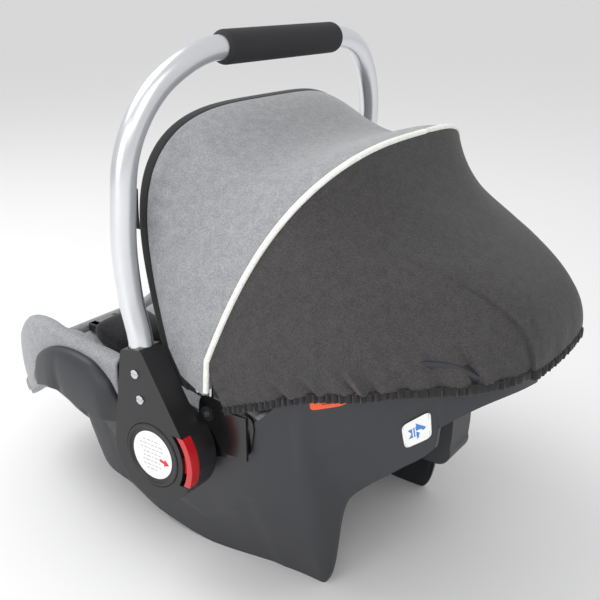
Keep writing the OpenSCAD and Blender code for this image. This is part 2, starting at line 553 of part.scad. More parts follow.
// The hem runs round the shell's side and straight across the head end.
hem_y = head_y + 4;
hem_table = [[canopy_y, canopy_z + 8], [at_head(0.28), 228], [at_head(0.5), 255], [at_head(0.65), 266],
    [at_head(0.78), 276], [hem_y, 275]];
hem_out = 6;
hem_share = 0.3;
hem_bulge = 3;
function hem_off(y) = curve([[canopy_y, hem_out], [at_head(0.5), hem_out + 1], [at_head(0.76), hem_out + 8],
    [at_head(0.9), hem_out + 3], [head_y, hem_out]], y);
function hem_at(a) = let (w = 1 - abs(a) / 90, e = rim_x(head_y - 1) + hem_out - 4)
    1 - w < hem_share
        ? [sgn(a) * e * (1 - w) / hem_share, hem_y + hem_bulge * (1 - pow((1 - w) / hem_share, 2)),
            curve(hem_table, hem_y)]
        : let (t = (1 - w - hem_share) / (1 - hem_share),
            y = hem_y - 1 + (canopy_y + 5 - hem_y) * pow(t, 1.25))
            [sgn(a) * min(bow_half_w, max(e, rim_x(min(y, head_y - 1)) + hem_off(y))), y, curve(hem_table, y)];
crown_from = [0, 24, -98];   // how the dark cloth leaves the rear bow at the crown
crown_to = [0, 10, 96];       // and how it comes down to the hem
function smooth(t) = let (u = max(0, min(1, t))) u * u * (3 - 2 * u);
function dark_at(a, v) = let (
    p = rear_at(a) + [0, 3.2, 0], h = hem_at(a), c = smooth((62 - abs(a)) / 42), w = 1 - v,
    c1 = p + crown_from * c + ((h - p) / 3 + [sgn(a) * 4, 0, 0]) * (1 - c),
    c2 = h + crown_to * c + ((p - h) / 3 + [sgn(a) * 10, 0, 0]) * (1 - c),
    s = w * w * w * p + 3 * w * w * v * c1 + 3 * w * v * v * c2 + v * v * v * h,
    near = s[1] < head_y - 1 && s[2] < rim_z(s[1]) + 8 ? rim_x(s[1]) + hem_out - 1 : 0)
    [sgn(a) * min(bow_half_w, max(abs(s[0]), near)), s[1], s[2]];
split = 0.5;
module dark_skin(v0, v1, a1, k) loft([for (a = arch_angles(a1, 24)) skin_ring(
    [for (i = [0:k]) dark_at(a, v0 + (v1 - v0) * i / k)], cloth)]);
module canopy_rear_panel() color(dark_cloth) dark_skin(0, split - 0.01, 84, 6);
module head_cover() color(dark_cloth) dark_skin(split, 1, 82.5, 8);
module elastic_hem() color(trim_black)
    tube([for (a = arch_angles(84, 26)) hem_at(a) - [0, 0, 4.6]], 2, 6, [1, 0, 0.01]);

// ---------- head block and padding ----------
block_y0 = lining_y1 + 1;
block_y1 = head_y - 1;
block_top = [[block_y0, head_rim_z + 2], [at_head(0.86), head_rim_z + 6],
    [at_head(0.92), head_rim_z - 10], [at_head(0.97), head_rim_z - 36], [head_y, head_rim_z - 58]];
function block_half(y) = let (low = tub(y, liner_off + 2.4, 6), e = low[len(low) - 1],
    zt = max(e[1] + 2, curve(block_top, y)))
    concat(low, [for (a = [75:-15:0]) [e[0] * pow(sin(a), 1.1), e[1] + (zt - e[1]) * pow(cos(a), 1.1)]]);
module head_block() color([0.93, 0.93, 0.93])
    loft([for (y = shell_ys_in(block_y0, block_y1)) both(block_half(y), y)]);

// Rounded cushion laid along the pad's upper face.
function cushion_outline(w, t) = [for (a = [0:20:340])
    [w / 2 * sgn(cos(a)) * pow(abs(cos(a)), 0.5), t / 2 * sgn(sin(a)) * pow(abs(sin(a)), 0.7)]];
function on_pad(x, y, lift) = [x, y, pad_top(x, y) + lift];
module cushion(y0, y1, w, t, lift, x = 0, n = 10) {
    rings = [for (i = [0:n]) let (u = i / n, y = y0 + (y1 - y0) * u,
        e = max(0.25, pow(1 - pow(abs(2 * u - 1), 4), 0.5)), c = on_pad(x, y, lift + t / 2))
        [for (p = cushion_outline(w * (0.75 + 0.25 * e), t * e)) c + [p[0], 0, p[1]]]];
    loft(rings);
}
pillow_t = 22;
module head_pillow() color(light_cloth) cushion(152, 236, 150, pillow_t, 10);

strap_x = 44;
strap_lift = 4;
buckle_y = -165;
buckle_lift = 20;
strap_ys = ys_between(138, -136, 22);
function strap_at(y, side) = let (t = smooth((40 - y) / 150), x = strap_x + (15 - strap_x) * t)
    [side * x, y, pad_top(x, y) + strap_lift + (buckle_lift - strap_lift + 4) * t];
module flat_strap(path, w) loft(swept(path, [[-w / 2, -web_t / 2], [w / 2, -web_t / 2],
    [w / 2, web_t / 2], [-w / 2, web_t / 2]], [1, 0, 0]), false);
module shoulder_strap(side) color([0.16, 0.16, 0.17]) loft([for (y = strap_ys) let (
    c = strap_at(y, side), w = web_w * (1 - 0.33 * smooth((0 - y) / 100)))
    [c + [-w / 2, 0, -web_t / 2], c + [w / 2, 0, -web_t / 2], c + [w / 2, 0, web_t / 2],
        c + [-w / 2, 0, web_t / 2]]], false);
module shoulder_strap_left() shoulder_strap(1);
module shoulder_strap_right() shoulder_strap(-1);
shoulder_pad = [46, 126, web_w + 14, 9, strap_lift + web_t + 1.2];   // y from, y to, width, thickness, lift
module shoulder_pad(side) color(trim_black)
    cushion(shoulder_pad[0], shoulder_pad[1], shoulder_pad[2], shoulder_pad[3], shoulder_pad[4], side * strap_x);
module shoulder_pad_left() shoulder_pad(1);
module shoulder_pad_right() shoulder_pad(-1);

buckle_z = pad_top(0, buckle_y) + buckle_lift;
buckle_half = [30, 24, 9];
tongue_t = 2;
button_half_w = 11;
module buckle_body() color(trim_black) translate([0, buckle_y, buckle_z]) difference() {
    translate(-buckle_half) cube(2 * buckle_half);
    // slot for the two tongues, at the head side
    translate([-buckle_half[0] + 4, 4, 2]) cube([2 * buckle_half[0] - 8, 40, tongue_t + 2 * gap]);
    // well of the release button
    translate([-button_half_w - gap, -17, 3.5]) cube([2 * (button_half_w + gap), 16 + gap, 20]);
}
module buckle_button() color(red) translate([-button_half_w, buckle_y - 17 + gap, buckle_z + 5.5])
    cube([2 * button_half_w, 16 - gap, 4.8]);
module tongue(side) color(silver) translate([0, buckle_y, buckle_z]) {
    translate([side > 0 ? 1 : -25, 5, 2 + gap]) cube([24, 30, tongue_t]);
}
module buckle_tongue_left() tongue(1);
module buckle_tongue_right() tongue(-1);
crotch_y0 = -268;
crotch_y1 = -200;
module crotch_pad() color(trim_black) cushion(crotch_y0, crotch_y1, 92, 40, 4);
module crotch_strap() color([0.16, 0.16, 0.17]) hull() {
    translate([-15, buckle_y - buckle_half[1] - 8, buckle_z - 1]) cube([30, 7.8, web_t]);
    translate([-15, buckle_y - buckle_half[1] - 8, pad_top(15, buckle_y - buckle_half[1] - 8) + 1.5])
        cube([30, web_t, web_t]);
}
adjuster_y = at_foot(0.88);
adjuster_z = max([for (y = ys_between(adjuster_y - 22, adjuster_y + 12, 4)) pad_top(25, y)]) + 1.2;
module adjuster_housing() color(trim_black) translate([-24, adjuster_y - 12, adjuster_z]) difference() {
    cube([48, 24, 12]);
    translate([10 - gap, 4 - gap, 6]) cube([28 + 2 * gap, 16 + 2 * gap, 20]);
}
module adjuster_button() color([0.5, 0.5, 0.52]) translate([-14, adjuster_y - 8, adjuster_z + 9])
    cube([28, 16, 4.5]);
module adjuster_strap() color([0.16, 0.16, 0.17]) translate([-web_w / 2, adjuster_y - 22, adjuster_z + 1])
    cube([web_w, 9.6, web_t]);

// ---------- labels ----------
// Thin plate that follows the shell's side: corners as [y, z], in order round it.
function patch_point(c, u, v, off) = let (
    p = (c[0] * (1 - u) + c[1] * u) * (1 - v) + (c[3] * (1 - u) + c[2] * u) * v)
    [side_x_at(p[0], p[1]) + off, p[0], p[1]];
module side_patch(c, k = 4) loft([for (i = [0:k]) concat(
    [for (j = [0:k]) patch_point(c, i / k, j / k, 1.1)],
    [for (j = [k:-1:0]) patch_point(c, i / k, j / k, 0.8)])]);
belt_label_corners = [[246, 203], [270, 222], [270, 250], [246, 230]];
caution_corners = [[172, 236], [200, 246], [226, 268], [172, 252]];
module belt_label_left() color(white) side_patch(belt_label_corners);
module belt_label_right() color(white) mirror([1, 0, 0]) side_patch(belt_label_corners);
module caution_label_left() color(orange) side_patch(caution_corners);
module caution_label_right() color(orange) mirror([1, 0, 0]) side_patch(caution_corners);

shell();
lap_guide_left();
lap_guide_right();
shoulder_belt_hook();
pivot_boss_left();
pivot_boss_right();
pivot_bolts();
canopy_mount_left();
canopy_mount_right();
canopy_pins();
head_block();
head_cover();
elastic_hem();
foot_cover();
foam_liner();
seat_pad();
head_pillow();
shoulder_strap_left();
shoulder_strap_right();
shoulder_pad_left();
shoulder_pad_right();
crotch_strap();
crotch_pad();
buckle_body();
buckle_tongue_left();
buckle_tongue_right();
adjuster_strap();
adjuster_housing();
belt_label_left();
belt_label_right();
caution_label_left();
caution_label_right();
buckle_button();
adjuster_button();
handle_tube();
handle_grip();
handle_arm_left();
handle_arm_right();
arm_screws();
hub_cap_left();
hub_cap_right();
hub_label_left();
hub_label_right();
release_button_left();
release_button_right();
release_spring_left();
release_spring_right();
rear_bow();
rear_bow_ends();
rear_piping();
canopy_rear_panel();
front_bow();
front_bow_ends();
canopy_front_panel();
front_binding();
canopy_tag();
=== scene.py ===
import json
import logging
import math
from dataclasses import dataclass
from enum import Enum
from typing import Callable, Sequence

import bmesh
import bpy
import numpy as np
from mathutils import Matrix, Vector


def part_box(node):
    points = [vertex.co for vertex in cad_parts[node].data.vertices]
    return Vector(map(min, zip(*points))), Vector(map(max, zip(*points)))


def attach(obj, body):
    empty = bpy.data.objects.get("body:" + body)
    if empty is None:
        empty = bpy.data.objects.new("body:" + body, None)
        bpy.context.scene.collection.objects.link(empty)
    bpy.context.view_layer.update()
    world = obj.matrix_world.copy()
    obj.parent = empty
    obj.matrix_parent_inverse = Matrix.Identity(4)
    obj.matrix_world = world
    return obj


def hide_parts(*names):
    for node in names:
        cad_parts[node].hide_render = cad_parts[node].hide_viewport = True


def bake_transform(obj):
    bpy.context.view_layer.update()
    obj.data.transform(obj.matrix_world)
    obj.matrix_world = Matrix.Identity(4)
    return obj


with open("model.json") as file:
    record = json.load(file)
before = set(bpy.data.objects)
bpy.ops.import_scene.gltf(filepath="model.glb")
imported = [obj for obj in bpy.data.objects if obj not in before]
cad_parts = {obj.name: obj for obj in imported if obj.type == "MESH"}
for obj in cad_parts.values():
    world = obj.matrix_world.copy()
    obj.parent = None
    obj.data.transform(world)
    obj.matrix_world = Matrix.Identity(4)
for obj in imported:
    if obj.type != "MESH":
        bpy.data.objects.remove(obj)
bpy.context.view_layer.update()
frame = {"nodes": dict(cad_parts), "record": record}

# Infant car seat: shell, carry handle, folding canopy, padding and harness.
# Shapes are worked out in millimetres, in the frame's own axes, and become metres in the mesh.

Array = np.ndarray
Table = Sequence[tuple[float, float]]
Outline = Sequence[tuple[float, float]]
Shapes = Sequence[Outline]
MM = 0.001
log = logging.getLogger("infant_seat")

# The foot cover's room off the rim and its thickness; then the liner's lift off the shell, its
# thickness and the seat pad's thickness.
COVER_GAP, COVER_T = 3.0, 3.0
LINER_OFF, LINER_T, PAD_T = 6.4, 12.0, 18.0
# Lift of printed marks over their label, and of a mark over another.
PRINT_LIFT, OVERPRINT_LIFT = 1.62, 1.72


class Side(Enum):
    """Which side of the centre plane a piece is on."""

    LEFT = 1
    RIGHT = -1

    @property
    def tag(self) -> str:
        """The side's name as the frame's nodes spell it."""
        return self.name.lower()


class Body(Enum):
    """The bodies that pieces ride on."""

    SEAT = "seat"
    HANDLE = "carry_handle"
    REAR_BOW = "rear_bow"
    FRONT_BOW = "front_bow"


# ---------------------------------------------------------------- curves and surfaces


def hermite(table: Table, t: Array) -> Array:
    """Smooth curve through (place, value) pairs, level at both ends.

    Each span is the cubic whose end slopes are the slopes between the neighbouring pairs.

    Args:
        table: pairs in order of place.
        t: places, of any shape.

    Returns:
        The values at t, held constant beyond the ends.
    """
    pairs = np.asarray(table, float)
    x, v = pairs[:, 0], pairs[:, 1]
    m = np.zeros_like(v)
    m[1:-1] = (v[2:] - v[:-2]) / (x[2:] - x[:-2])
    t = np.asarray(t, float)
    i = np.clip(np.searchsorted(x, t, side="right") - 1, 0, len(x) - 2)
    h = x[i + 1] - x[i]
    u = np.clip((t - x[i]) / h, 0, 1)
    a = 2 * u**3 - 3 * u**2 + 1
    return a * v[i] + (u**3 - 2 * u**2 + u) * h * m[i] + (1 - a) * v[i + 1] + (u**3 - u**2) * h * m[i + 1]


def smooth(t: Array) -> Array:
    """0 below 0, 1 above 1, and a smooth step of 3t^2 - 2t^3 between."""
    u = np.clip(t, 0, 1)
    return u * u * (3 - 2 * u)


def bell(t: Array, centre: float, width: float) -> Array:
    """A bump of height 1 at the centre: exp of minus the squared distance in widths."""
    return np.exp(-(((t - centre) / width) ** 2))


def run_along(path: Array) -> Array:
    """Distance from a path's start to each of its points, in millimetres."""
    return np.r_[0, np.cumsum(np.linalg.norm(np.diff(path, axis=0), axis=1))]


def tape_area(path: Array, width: Array) -> float:
    """Area in square metres of a band of varying width along a path."""
    return float((width * np.gradient(run_along(path))).sum() * MM**2)


def unit(v: Array) -> Array:
    """Vectors along the last axis, each divided by its length."""
    return v / np.maximum(np.linalg.norm(v, axis=-1, keepdims=True), 1e-9)


def power(v: Array, p: float) -> Array:
    """The absolute value to a power, with the sign kept."""
    return np.sign(v) * np.abs(v) ** p


def spread(marks: Sequence[float], parts: int) -> Array:
    """Places between each pair of marks, parts to a gap, ends included."""
    marks_ = np.asarray(marks, float)
    at = np.linspace(0, len(marks_) - 1, (len(marks_) - 1) * parts + 1)
    return np.interp(at, np.arange(len(marks_)), marks_)


def normals(points: Array) -> Array:
    """Unit normals of a grid of points: the cross product of its two central differences."""
    return unit(np.cross(np.gradient(points, axis=0), np.gradient(points, axis=1)))


def grid_faces(rows: int, columns: int, wrap_rows: bool, wrap_columns: bool) -> Array:
    """Quads over a grid of points numbered row by row, joined round where it wraps."""
    r = np.arange(rows if wrap_rows else rows - 1)[:, None]
    c = np.arange(columns if wrap_columns else columns - 1)[None, :]
    r1, c1 = (r + 1) % rows, (c + 1) % columns
    quads = [r * columns + c, r * columns + c1, r1 * columns + c1, r1 * columns + c]
    return np.stack(quads, -1).reshape(-1, 4)


def as_object(name: str, points: Array, faces: list[list[int]], angle: float = 38.0) -> bpy.types.Object:
    """A mesh object at the origin, smooth but for edges sharper than the angle.

    Args:
        name: the piece's name.
        points: (n, 3) in millimetres.
        faces: point numbers of each face.
        angle: edges that turn by more degrees than this stay sharp.

    Returns:
        The new object, linked to the scene.
    """
    mesh = bpy.data.meshes.new(name)
    mesh.from_pydata((np.asarray(points).reshape(-1, 3) * MM).tolist(), [], faces)
    mesh.validate()
    tidy = bmesh.new()
    tidy.from_mesh(mesh)
    bmesh.ops.remove_doubles(tidy, verts=tidy.verts, dist=2e-6)
    bmesh.ops.dissolve_degenerate(tidy, edges=tidy.edges, dist=1e-6)
    if all(len(e.link_faces) == 2 for e in tidy.edges):
        bmesh.ops.recalc_face_normals(tidy, faces=tidy.faces)
    tidy.to_mesh(mesh)
    tidy.free()
    shade(mesh, angle)
    piece = bpy.data.objects.new(name, mesh)
    bpy.context.scene.collection.objects.link(piece)
    return piece


def shade(mesh: bpy.types.Mesh, angle: float) -> None:
    """Smooth shading with edges sharper than angle, in degrees, kept sharp."""
    mesh.shade_smooth()
    mesh.set_sharp_from_angle(angle=math.radians(angle))


def sheet_object(name: str, grid: Array, thick: float = 0.0, outwards: Array | None = None,
                 wrap: bool = False) -> bpy.types.Object:
    """A sheet over a grid of points, facing outwards, with a live Solidify if it has a thickness.

    Args:
        name: the piece's name.
        grid: (rows, columns, 3) in millimetres.
        thick: cloth thickness in millimetres.
        outwards: a point inside; faces are turned away from it.
        wrap: joins the last row to the first.

    Returns:
        The new object.
    """
    rows, columns = grid.shape[:2]
    faces = grid_faces(rows, columns, wrap, False)
    flat = grid.reshape(-1, 3)
    if outwards is not None:
        a, b, c = (flat[faces[:, k]] for k in (0, 1, 2))
        if (np.einsum("ij,ij->i", np.cross(b - a, c - a), a - outwards)).sum() < 0:
            faces = faces[:, ::-1]
    piece = as_object(name, flat, faces.tolist(), 60)
    if thick:
        wall = piece.modifiers.new("wall", "SOLIDIFY")
        wall.thickness = thick * MM
        wall.offset = 0
        wall.use_rim = True
    return piece


def loft_object(name: str, rings: Array, angle: float = 38.0) -> bpy.types.Object:
    """A closed body: rings of points (n, m, 3) joined in order, each end closed by its own outline."""
    n, m = rings.shape[:2]
    faces = grid_faces(n, m, False, True).tolist()
    faces += [list(range(m))[::-1], [(n - 1) * m + j for j in range(m)]]
    return as_object(name, rings, faces, angle)


def carried(path: Array, outline: Array, across: Array) -> Array:
    """An outline of (u, v) pairs carried along a path, square to it.

    At each point the tangent is the central difference, v runs along tangent x across, and u along the rest.

    Args:
        path: (n, 3) points.
        outline: (m, 2) or (n, m, 2) offsets in millimetres.
        across: (3,) or (n, 3) direction that u lies along.

    Returns:
        Rings of shape (n, m, 3).
    """
    t = unit(np.gradient(path, axis=0))
    v = unit(np.cross(t, np.broadcast_to(across, path.shape)))
    u = unit(np.cross(v, t))
    o = np.broadcast_to(outline, (len(path),) + outline.shape[-2:])
    return path[:, None] + u[:, None] * o[..., :1] + v[:, None] * o[..., 1:]


def oval(width: float, height: float, count: int, square: float = 1.0) -> Array:
    """Outline of an oval as (u, v) pairs; square below 1 makes it boxier."""
    a = np.linspace(0, 2 * np.pi, count, endpoint=False)
    return np.stack([width / 2 * power(np.cos(a), square), height / 2 * power(np.sin(a), square)], -1)


def turned(name: str, profile: Table, centre: Sequence[float], side: float, count: int = 96
           ) -> bpy.types.Object:
    """A body turned about an axis along X; profile gives (radius, x) pairs, out from the axis and back."""
    p = np.asarray(profile, float)
    a = np.linspace(0, 2 * np.pi, count, endpoint=False)[:, None]
    rings = np.stack([np.broadcast_to(side * p[:, 1], (count, len(p))),
                      centre[0] + p[:, 0] * np.cos(a), centre[1] + p[:, 0] * np.sin(a)], -1)
    return as_object(name, rings, grid_faces(count, len(p), True, False).tolist(), 30)


def across_corners(corners: Outline, s: Array, t: Array) -> tuple[Array, Array]:
    """Point of a four-cornered patch at the shares s and t: the corners weighted by their far areas."""
    c = np.asarray(corners, float)
    w = np.stack([(1 - s) * (1 - t), s * (1 - t), s * t, (1 - s) * t], -1)
    return w @ c[:, 0], w @ c[:, 1]


def printed(name: str, shapes: Shapes, place: Callable[[Array], Array], side: Side) -> bpy.types.Object:
    """Flat polygons put in place by a function and turned to face away from the seat."""
    points, faces, at = [], [], 0
    for shape in shapes:
        points.append(place(np.asarray(shape, float)))
        order = list(range(at, at + len(shape)))
        faces.append(order if side is Side.LEFT else order[::-1])
        at += len(shape)
    return as_object(name, np.concatenate(points), faces)


def softened(node: str, radius: float, steps: int = 3, angle: float = 32.0) -> bpy.types.Object:
    """A copy of a frame node's hard part with its flats merged and its edges rounded by a Bevel."""
    piece = bpy.data.objects.new(node + "_smooth", frame["nodes"][node].data.copy())
    bpy.context.scene.collection.objects.link(piece)
    piece.data.materials.clear()
    work = bmesh.new()
    work.from_mesh(piece.data)
    bmesh.ops.remove_doubles(work, verts=work.verts, dist=2e-5)
    bmesh.ops.dissolve_limit(work, angle_limit=math.radians(1.0), verts=work.verts, edges=work.edges)
    bmesh.ops.recalc_face_normals(work, faces=work.faces)
    work.to_mesh(piece.data)
    work.free()
    shade(piece.data, 35)
    edge = piece.modifiers.new("rounding", "BEVEL")
    edge.width = radius * MM
    edge.segments = steps
    edge.limit_method = "ANGLE"
    edge.angle_limit = math.radians(angle)
    edge.harden_normals = True
    return piece


def baked(piece: bpy.types.Object) -> None:
    """Puts a piece's live modifiers into its mesh."""
    bpy.context.view_layer.update()
    evaluated = piece.evaluated_get(bpy.context.evaluated_depsgraph_get())
    mesh = bpy.data.meshes.new_from_object(evaluated)
    piece.modifiers.clear()
    piece.data = mesh


def coordinates(mesh: bpy.types.Mesh) -> Array:
    """A mesh's points as (n, 3), in metres."""
    flat = np.empty(len(mesh.vertices) * 3)
    mesh.vertices.foreach_get("co", flat)
    return flat.reshape(-1, 3)


def plumped(piece: bpy.types.Object, voxel: float, most: float, pressure: float = 4.0) -> None:
    """Swells a closed pad like stuffed cloth: remesh, a short pressure simulation, then one subdivision.

    Args:
        piece: the closed pad.
        voxel: remesh size in millimetres.
        most: how far a point may move, in millimetres.
        pressure: the cloth's inside pressure.
    """
    remesh = piece.modifiers.new("voxels", "REMESH")
    remesh.mode = "VOXEL"
    remesh.voxel_size = voxel * MM
    baked(piece)
    start = coordinates(piece.data)
    cloth = piece.modifiers.new("cloth", "CLOTH")
    cloth.settings.quality = 5
    cloth.settings.mass = 0.2
    cloth.settings.use_pressure = True
    cloth.settings.uniform_pressure_force = pressure
    cloth.settings.effector_weights.gravity = 0
    for number in range(1, 21):
        bpy.context.scene.frame_set(number)
    baked(piece)
    bpy.context.scene.frame_set(1)
    moved = coordinates(piece.data) - start
    far = np.linalg.norm(moved, axis=1, keepdims=True)
    moved *= np.minimum(1, most * MM / np.maximum(far, 1e-9))
    piece.data.vertices.foreach_set("co", (start + moved).ravel())
    piece.data.update()
    finer = piece.modifiers.new("finer", "SUBSURF")
    finer.levels = finer.render_levels = 1
    baked(piece)
    piece.data.shade_smooth()


# ---------------------------------------------------------------- materials


def linear(red: int, green: int, blue: int) -> tuple[float, float, float, float]:
    """A display colour from 0 to 255 as linear light: ((c + 0.055) / 1.055) ^ 2.4, or c / 12.92 when dark."""
    c = [v / 255 for v in (red, green, blue)]
    return tuple(v / 12.92 if v <= 0.04045 else ((v + 0.055) / 1.055) ** 2.4 for v in c) + (1.0,)


class Wire:
    """A shader socket whose arithmetic adds Math nodes."""

    def __init__(self, recipe: "Recipe", socket: bpy.types.NodeSocket) -> None:
        """Keeps the socket and the material that it belongs to."""
        self.recipe, self.socket = recipe, socket

    def _math(self, operation: str, first: object, second: object) -> "Wire":
        """One Math node on two values or wires."""
        return self.recipe.node("ShaderNodeMath", {"operation": operation}, {0: first, 1: second})

    def __add__(self, other: object) -> "Wire":
        """self + other."""
        return self._math("ADD", self, other)

    __radd__ = __add__

    def __mul__(self, other: object) -> "Wire":
        """self * other."""
        return self._math("MULTIPLY", self, other)

    __rmul__ = __mul__

    def __sub__(self, other: object) -> "Wire":
        """self - other."""
        return self._math("SUBTRACT", self, other)

    def __rsub__(self, other: object) -> "Wire":
        """other - self."""
        return self._math("SUBTRACT", other, self)


class Recipe:
    """One material being built: a Principled shader and the nodes that feed it."""

    def __init__(self, name: str) -> None:
        """Makes the material with its output and its shader."""
        self.material = bpy.data.materials.new(name)
        self.material.use_nodes = True
        self.tree = self.material.node_tree
        self.tree.nodes.clear()
        output = self.tree.nodes.new("ShaderNodeOutputMaterial")
        self.shader = self.tree.nodes.new("ShaderNodeBsdfPrincipled")
        self.tree.links.new(self.shader.outputs[0], output.inputs[0])
        self.place = self.node("ShaderNodeTexCoord", {}, {}, "Object")

    def node(self, kind: str, settings: dict, inputs: dict, output: str | int = 0) -> Wire:
        """Any node: its settings are set first, then its sockets get values or links.

        Args:
            kind: the node's type.
            settings: attributes, or "stops" for a ramp as (place, grey) pairs.
            inputs: socket name or number to a value or a Wire.
            output: which output is returned.

        Returns:
            The output as a Wire.
        """
        made = self.tree.nodes.new(kind)
        for key, value in settings.items():
            if key == "stops":
                ramp = made.color_ramp
                while len(ramp.elements) < len(value):
                    ramp.elements.new(0.5)
                for element, (at, grey) in zip(ramp.elements, value):
                    element.position = at
                    element.color = (grey, grey, grey, 1)
            else:
                setattr(made, key, value)
        for key, value in inputs.items():
            if isinstance(value, Wire):
                self.tree.links.new(value.socket, made.inputs[key])
            else:
                made.inputs[key].default_value = value
        return Wire(self, made.outputs[output])

    def noise(self, scale: float, detail: float = 2.0,
              stretch: tuple[float, float, float] = (1, 1, 1)) -> Wire:
        """Noise in object space, with scale in features to the metre."""
        place = self.node("ShaderNodeMapping", {}, {"Vector": self.place, "Scale": stretch})
        return self.node("ShaderNodeTexNoise", {}, {"Vector": place, "Scale": scale, "Detail": detail})

    def bands(self, period: float, direction: str) -> Wire:
        """Even bands across an axis, one to each period in millimetres: sin(20 scale place)."""
        scale = 2 * math.pi / (20 * period * MM)
        return self.node("ShaderNodeTexWave", {"bands_direction": direction},
                         {"Vector": self.place, "Scale": scale, "Distortion": 0.0})

    def mixed(self, share: Wire | float, first: object, second: object) -> Wire:
        """Two colours mixed by a share."""
        return self.node("ShaderNodeMix", {"data_type": "RGBA"}, {0: share, 6: first, 7: second}, 2)

    def ramp(self, value: Wire, low: float, high: float) -> Wire:
        """0 below low, 1 above high."""
        return self.node("ShaderNodeValToRGB", {"stops": [(low, 0.0), (high, 1.0)]}, {0: value})

    def bump(self, height: Wire, distance: float, strength: float = 1.0, under: Wire | None = None) -> Wire:
        """A Bump node with its distance in millimetres."""
        inputs: dict = {"Height": height, "Distance": distance * MM, "Strength": strength}
        if under is not None:
            inputs["Normal"] = under
        return self.node("ShaderNodeBump", {}, inputs)

    def feed(self, **sockets: object) -> "Recipe":
        """Sets or links the shader's sockets; an underscore in a name stands for a space."""
        for key, value in sockets.items():
            socket = self.shader.inputs[key.replace("_", " ")]
            if isinstance(value, Wire):
                self.tree.links.new(value.socket, socket)
            else:
                socket.default_value = value
        return self


@dataclass(frozen=True)
class MouldedPlastic:
    """Moulded plastic: fine spark grain, slight cloudiness and a soft edge to its gloss."""

    colour: tuple[float, float, float, float]
    roughness: float = 0.42
    grain: float = 0.05
    coat: float = 0.0
    slot: str = "shell_plastic"

    def material(self, name: str) -> bpy.types.Material:
        """Builds the material."""
        r = Recipe(name)
        cloud = r.noise(14, 3)
        grain = r.noise(2100, 1)
        dark = tuple(c * 0.86 for c in self.colour[:3]) + (1.0,)
        return r.feed(Base_Color=r.mixed(cloud, dark, self.colour),
                      Roughness=cloud * 0.10 + grain * 0.06 + (self.roughness - 0.08),
                      Normal=r.bump(grain, self.grain, 0.5), Coat_Weight=self.coat,
                      Coat_Roughness=0.18).material


@dataclass(frozen=True)
class MelangeCloth:
    """Woven cloth of light and dark fibres, with flecks drawn out along the threads."""

    dark: tuple[float, float, float, float]
    light: tuple[float, float, float, float]
    fleck: float = 620.0
    sheen: float = 0.25
    slot: str = "light_cloth"

    def material(self, name: str) -> bpy.types.Material:
        """Builds the material."""
        r = Recipe(name)
        weft = r.noise(self.fleck, 2, (1, 1, 0.35))
        warp = r.noise(self.fleck, 2, (0.4, 0.35, 1.1))
        patch = r.noise(120, 3)
        mix = r.ramp(weft * 0.45 + warp * 0.35 + patch * 0.2, 0.36, 0.64)
        weave = r.bands(1.5, "DIAGONAL") + r.bands(1.3, "Z")
        rough = r.bump(weave * 0.5 + weft * 0.8, 0.22, 0.45)
        return r.feed(Base_Color=r.mixed(mix, self.dark, self.light), Roughness=patch * 0.1 + 0.84,
                      Normal=rough, Sheen_Weight=self.sheen, Sheen_Roughness=0.5,
                      Specular_IOR_Level=0.2).material


@dataclass(frozen=True)
class Webbing:
    """Ribbed woven tape: bands along its threads, crossed by finer ones."""

    colour: tuple[float, float, float, float]
    rib: float = 1.8
    slot: str = "black_webbing"

    def material(self, name: str) -> bpy.types.Material:
        """Builds the material."""
        r = Recipe(name)
        rib = r.bands(self.rib, "Y") * 0.6 + r.bands(self.rib * 0.7, "X") * 0.4
        fuzz = r.noise(900, 2)
        pale = tuple(min(1.0, c * 2.2 + 0.004) for c in self.colour[:3]) + (1.0,)
        return r.feed(Base_Color=r.mixed(rib * fuzz, self.colour, pale), Roughness=fuzz * 0.2 + 0.7,
                      Normal=r.bump(rib + fuzz * 0.4, 0.3, 0.6), Sheen_Weight=0.15).material


@dataclass(frozen=True)
class SatinMetal:
    """Drawn and anodised or plated metal: hair-fine streaks and a little haze."""

    colour: tuple[float, float, float, float]
    roughness: float = 0.3
    stretch: tuple[float, float, float] = (1, 1, 0.04)
    slot: str = "steel"

    def material(self, name: str) -> bpy.types.Material:
        """Builds the material."""
        r = Recipe(name)
        streak = r.noise(1500, 2, self.stretch)
        haze = r.noise(22, 3)
        dull = tuple(c * 0.9 for c in self.colour[:3]) + (1.0,)
        return r.feed(Base_Color=r.mixed(haze, dull, self.colour), Metallic=1.0,
                      Roughness=streak * 0.08 + haze * 0.08 + (self.roughness - 0.08),
                      Normal=r.bump(streak, 0.02, 0.3)).material


@dataclass(frozen=True)
class CellFoam:
    """Foam: round cells in the surface, matt."""

    colour: tuple[float, float, float, float]
    cell: float = 420.0
    depth: float = 0.3
    slot: str = "foam_grip"

    def material(self, name: str) -> bpy.types.Material:
        """Builds the material."""
        r = Recipe(name)
        cell = r.node("ShaderNodeTexVoronoi", {}, {"Vector": r.place, "Scale": self.cell}, "Distance")
        cloud = r.noise(40, 3)
        pale = tuple(min(1.0, c * 1.35 + 0.006) for c in self.colour[:3]) + (1.0,)
        return r.feed(Base_Color=r.mixed(cloud, self.colour, pale), Roughness=cloud * 0.1 + 0.75,
                      Normal=r.bump(cell, self.depth, 0.6)).material


@dataclass(frozen=True)
class PrintedFilm:
    """Sticker film: flat colour with faint mottle and a soft gloss."""

    colour: tuple[float, float, float, float]
    slot: str = "label_white"

    def material(self, name: str) -> bpy.types.Material:
        """Builds the material."""
        r = Recipe(name)
        mottle = r.noise(160, 3)
        dull = tuple(c * 0.93 for c in self.colour[:3]) + (1.0,)
        return r.feed(Base_Color=r.mixed(mottle, dull, self.colour), Roughness=mottle * 0.1 + 0.38,
                      Normal=r.bump(mottle, 0.02, 0.2)).material


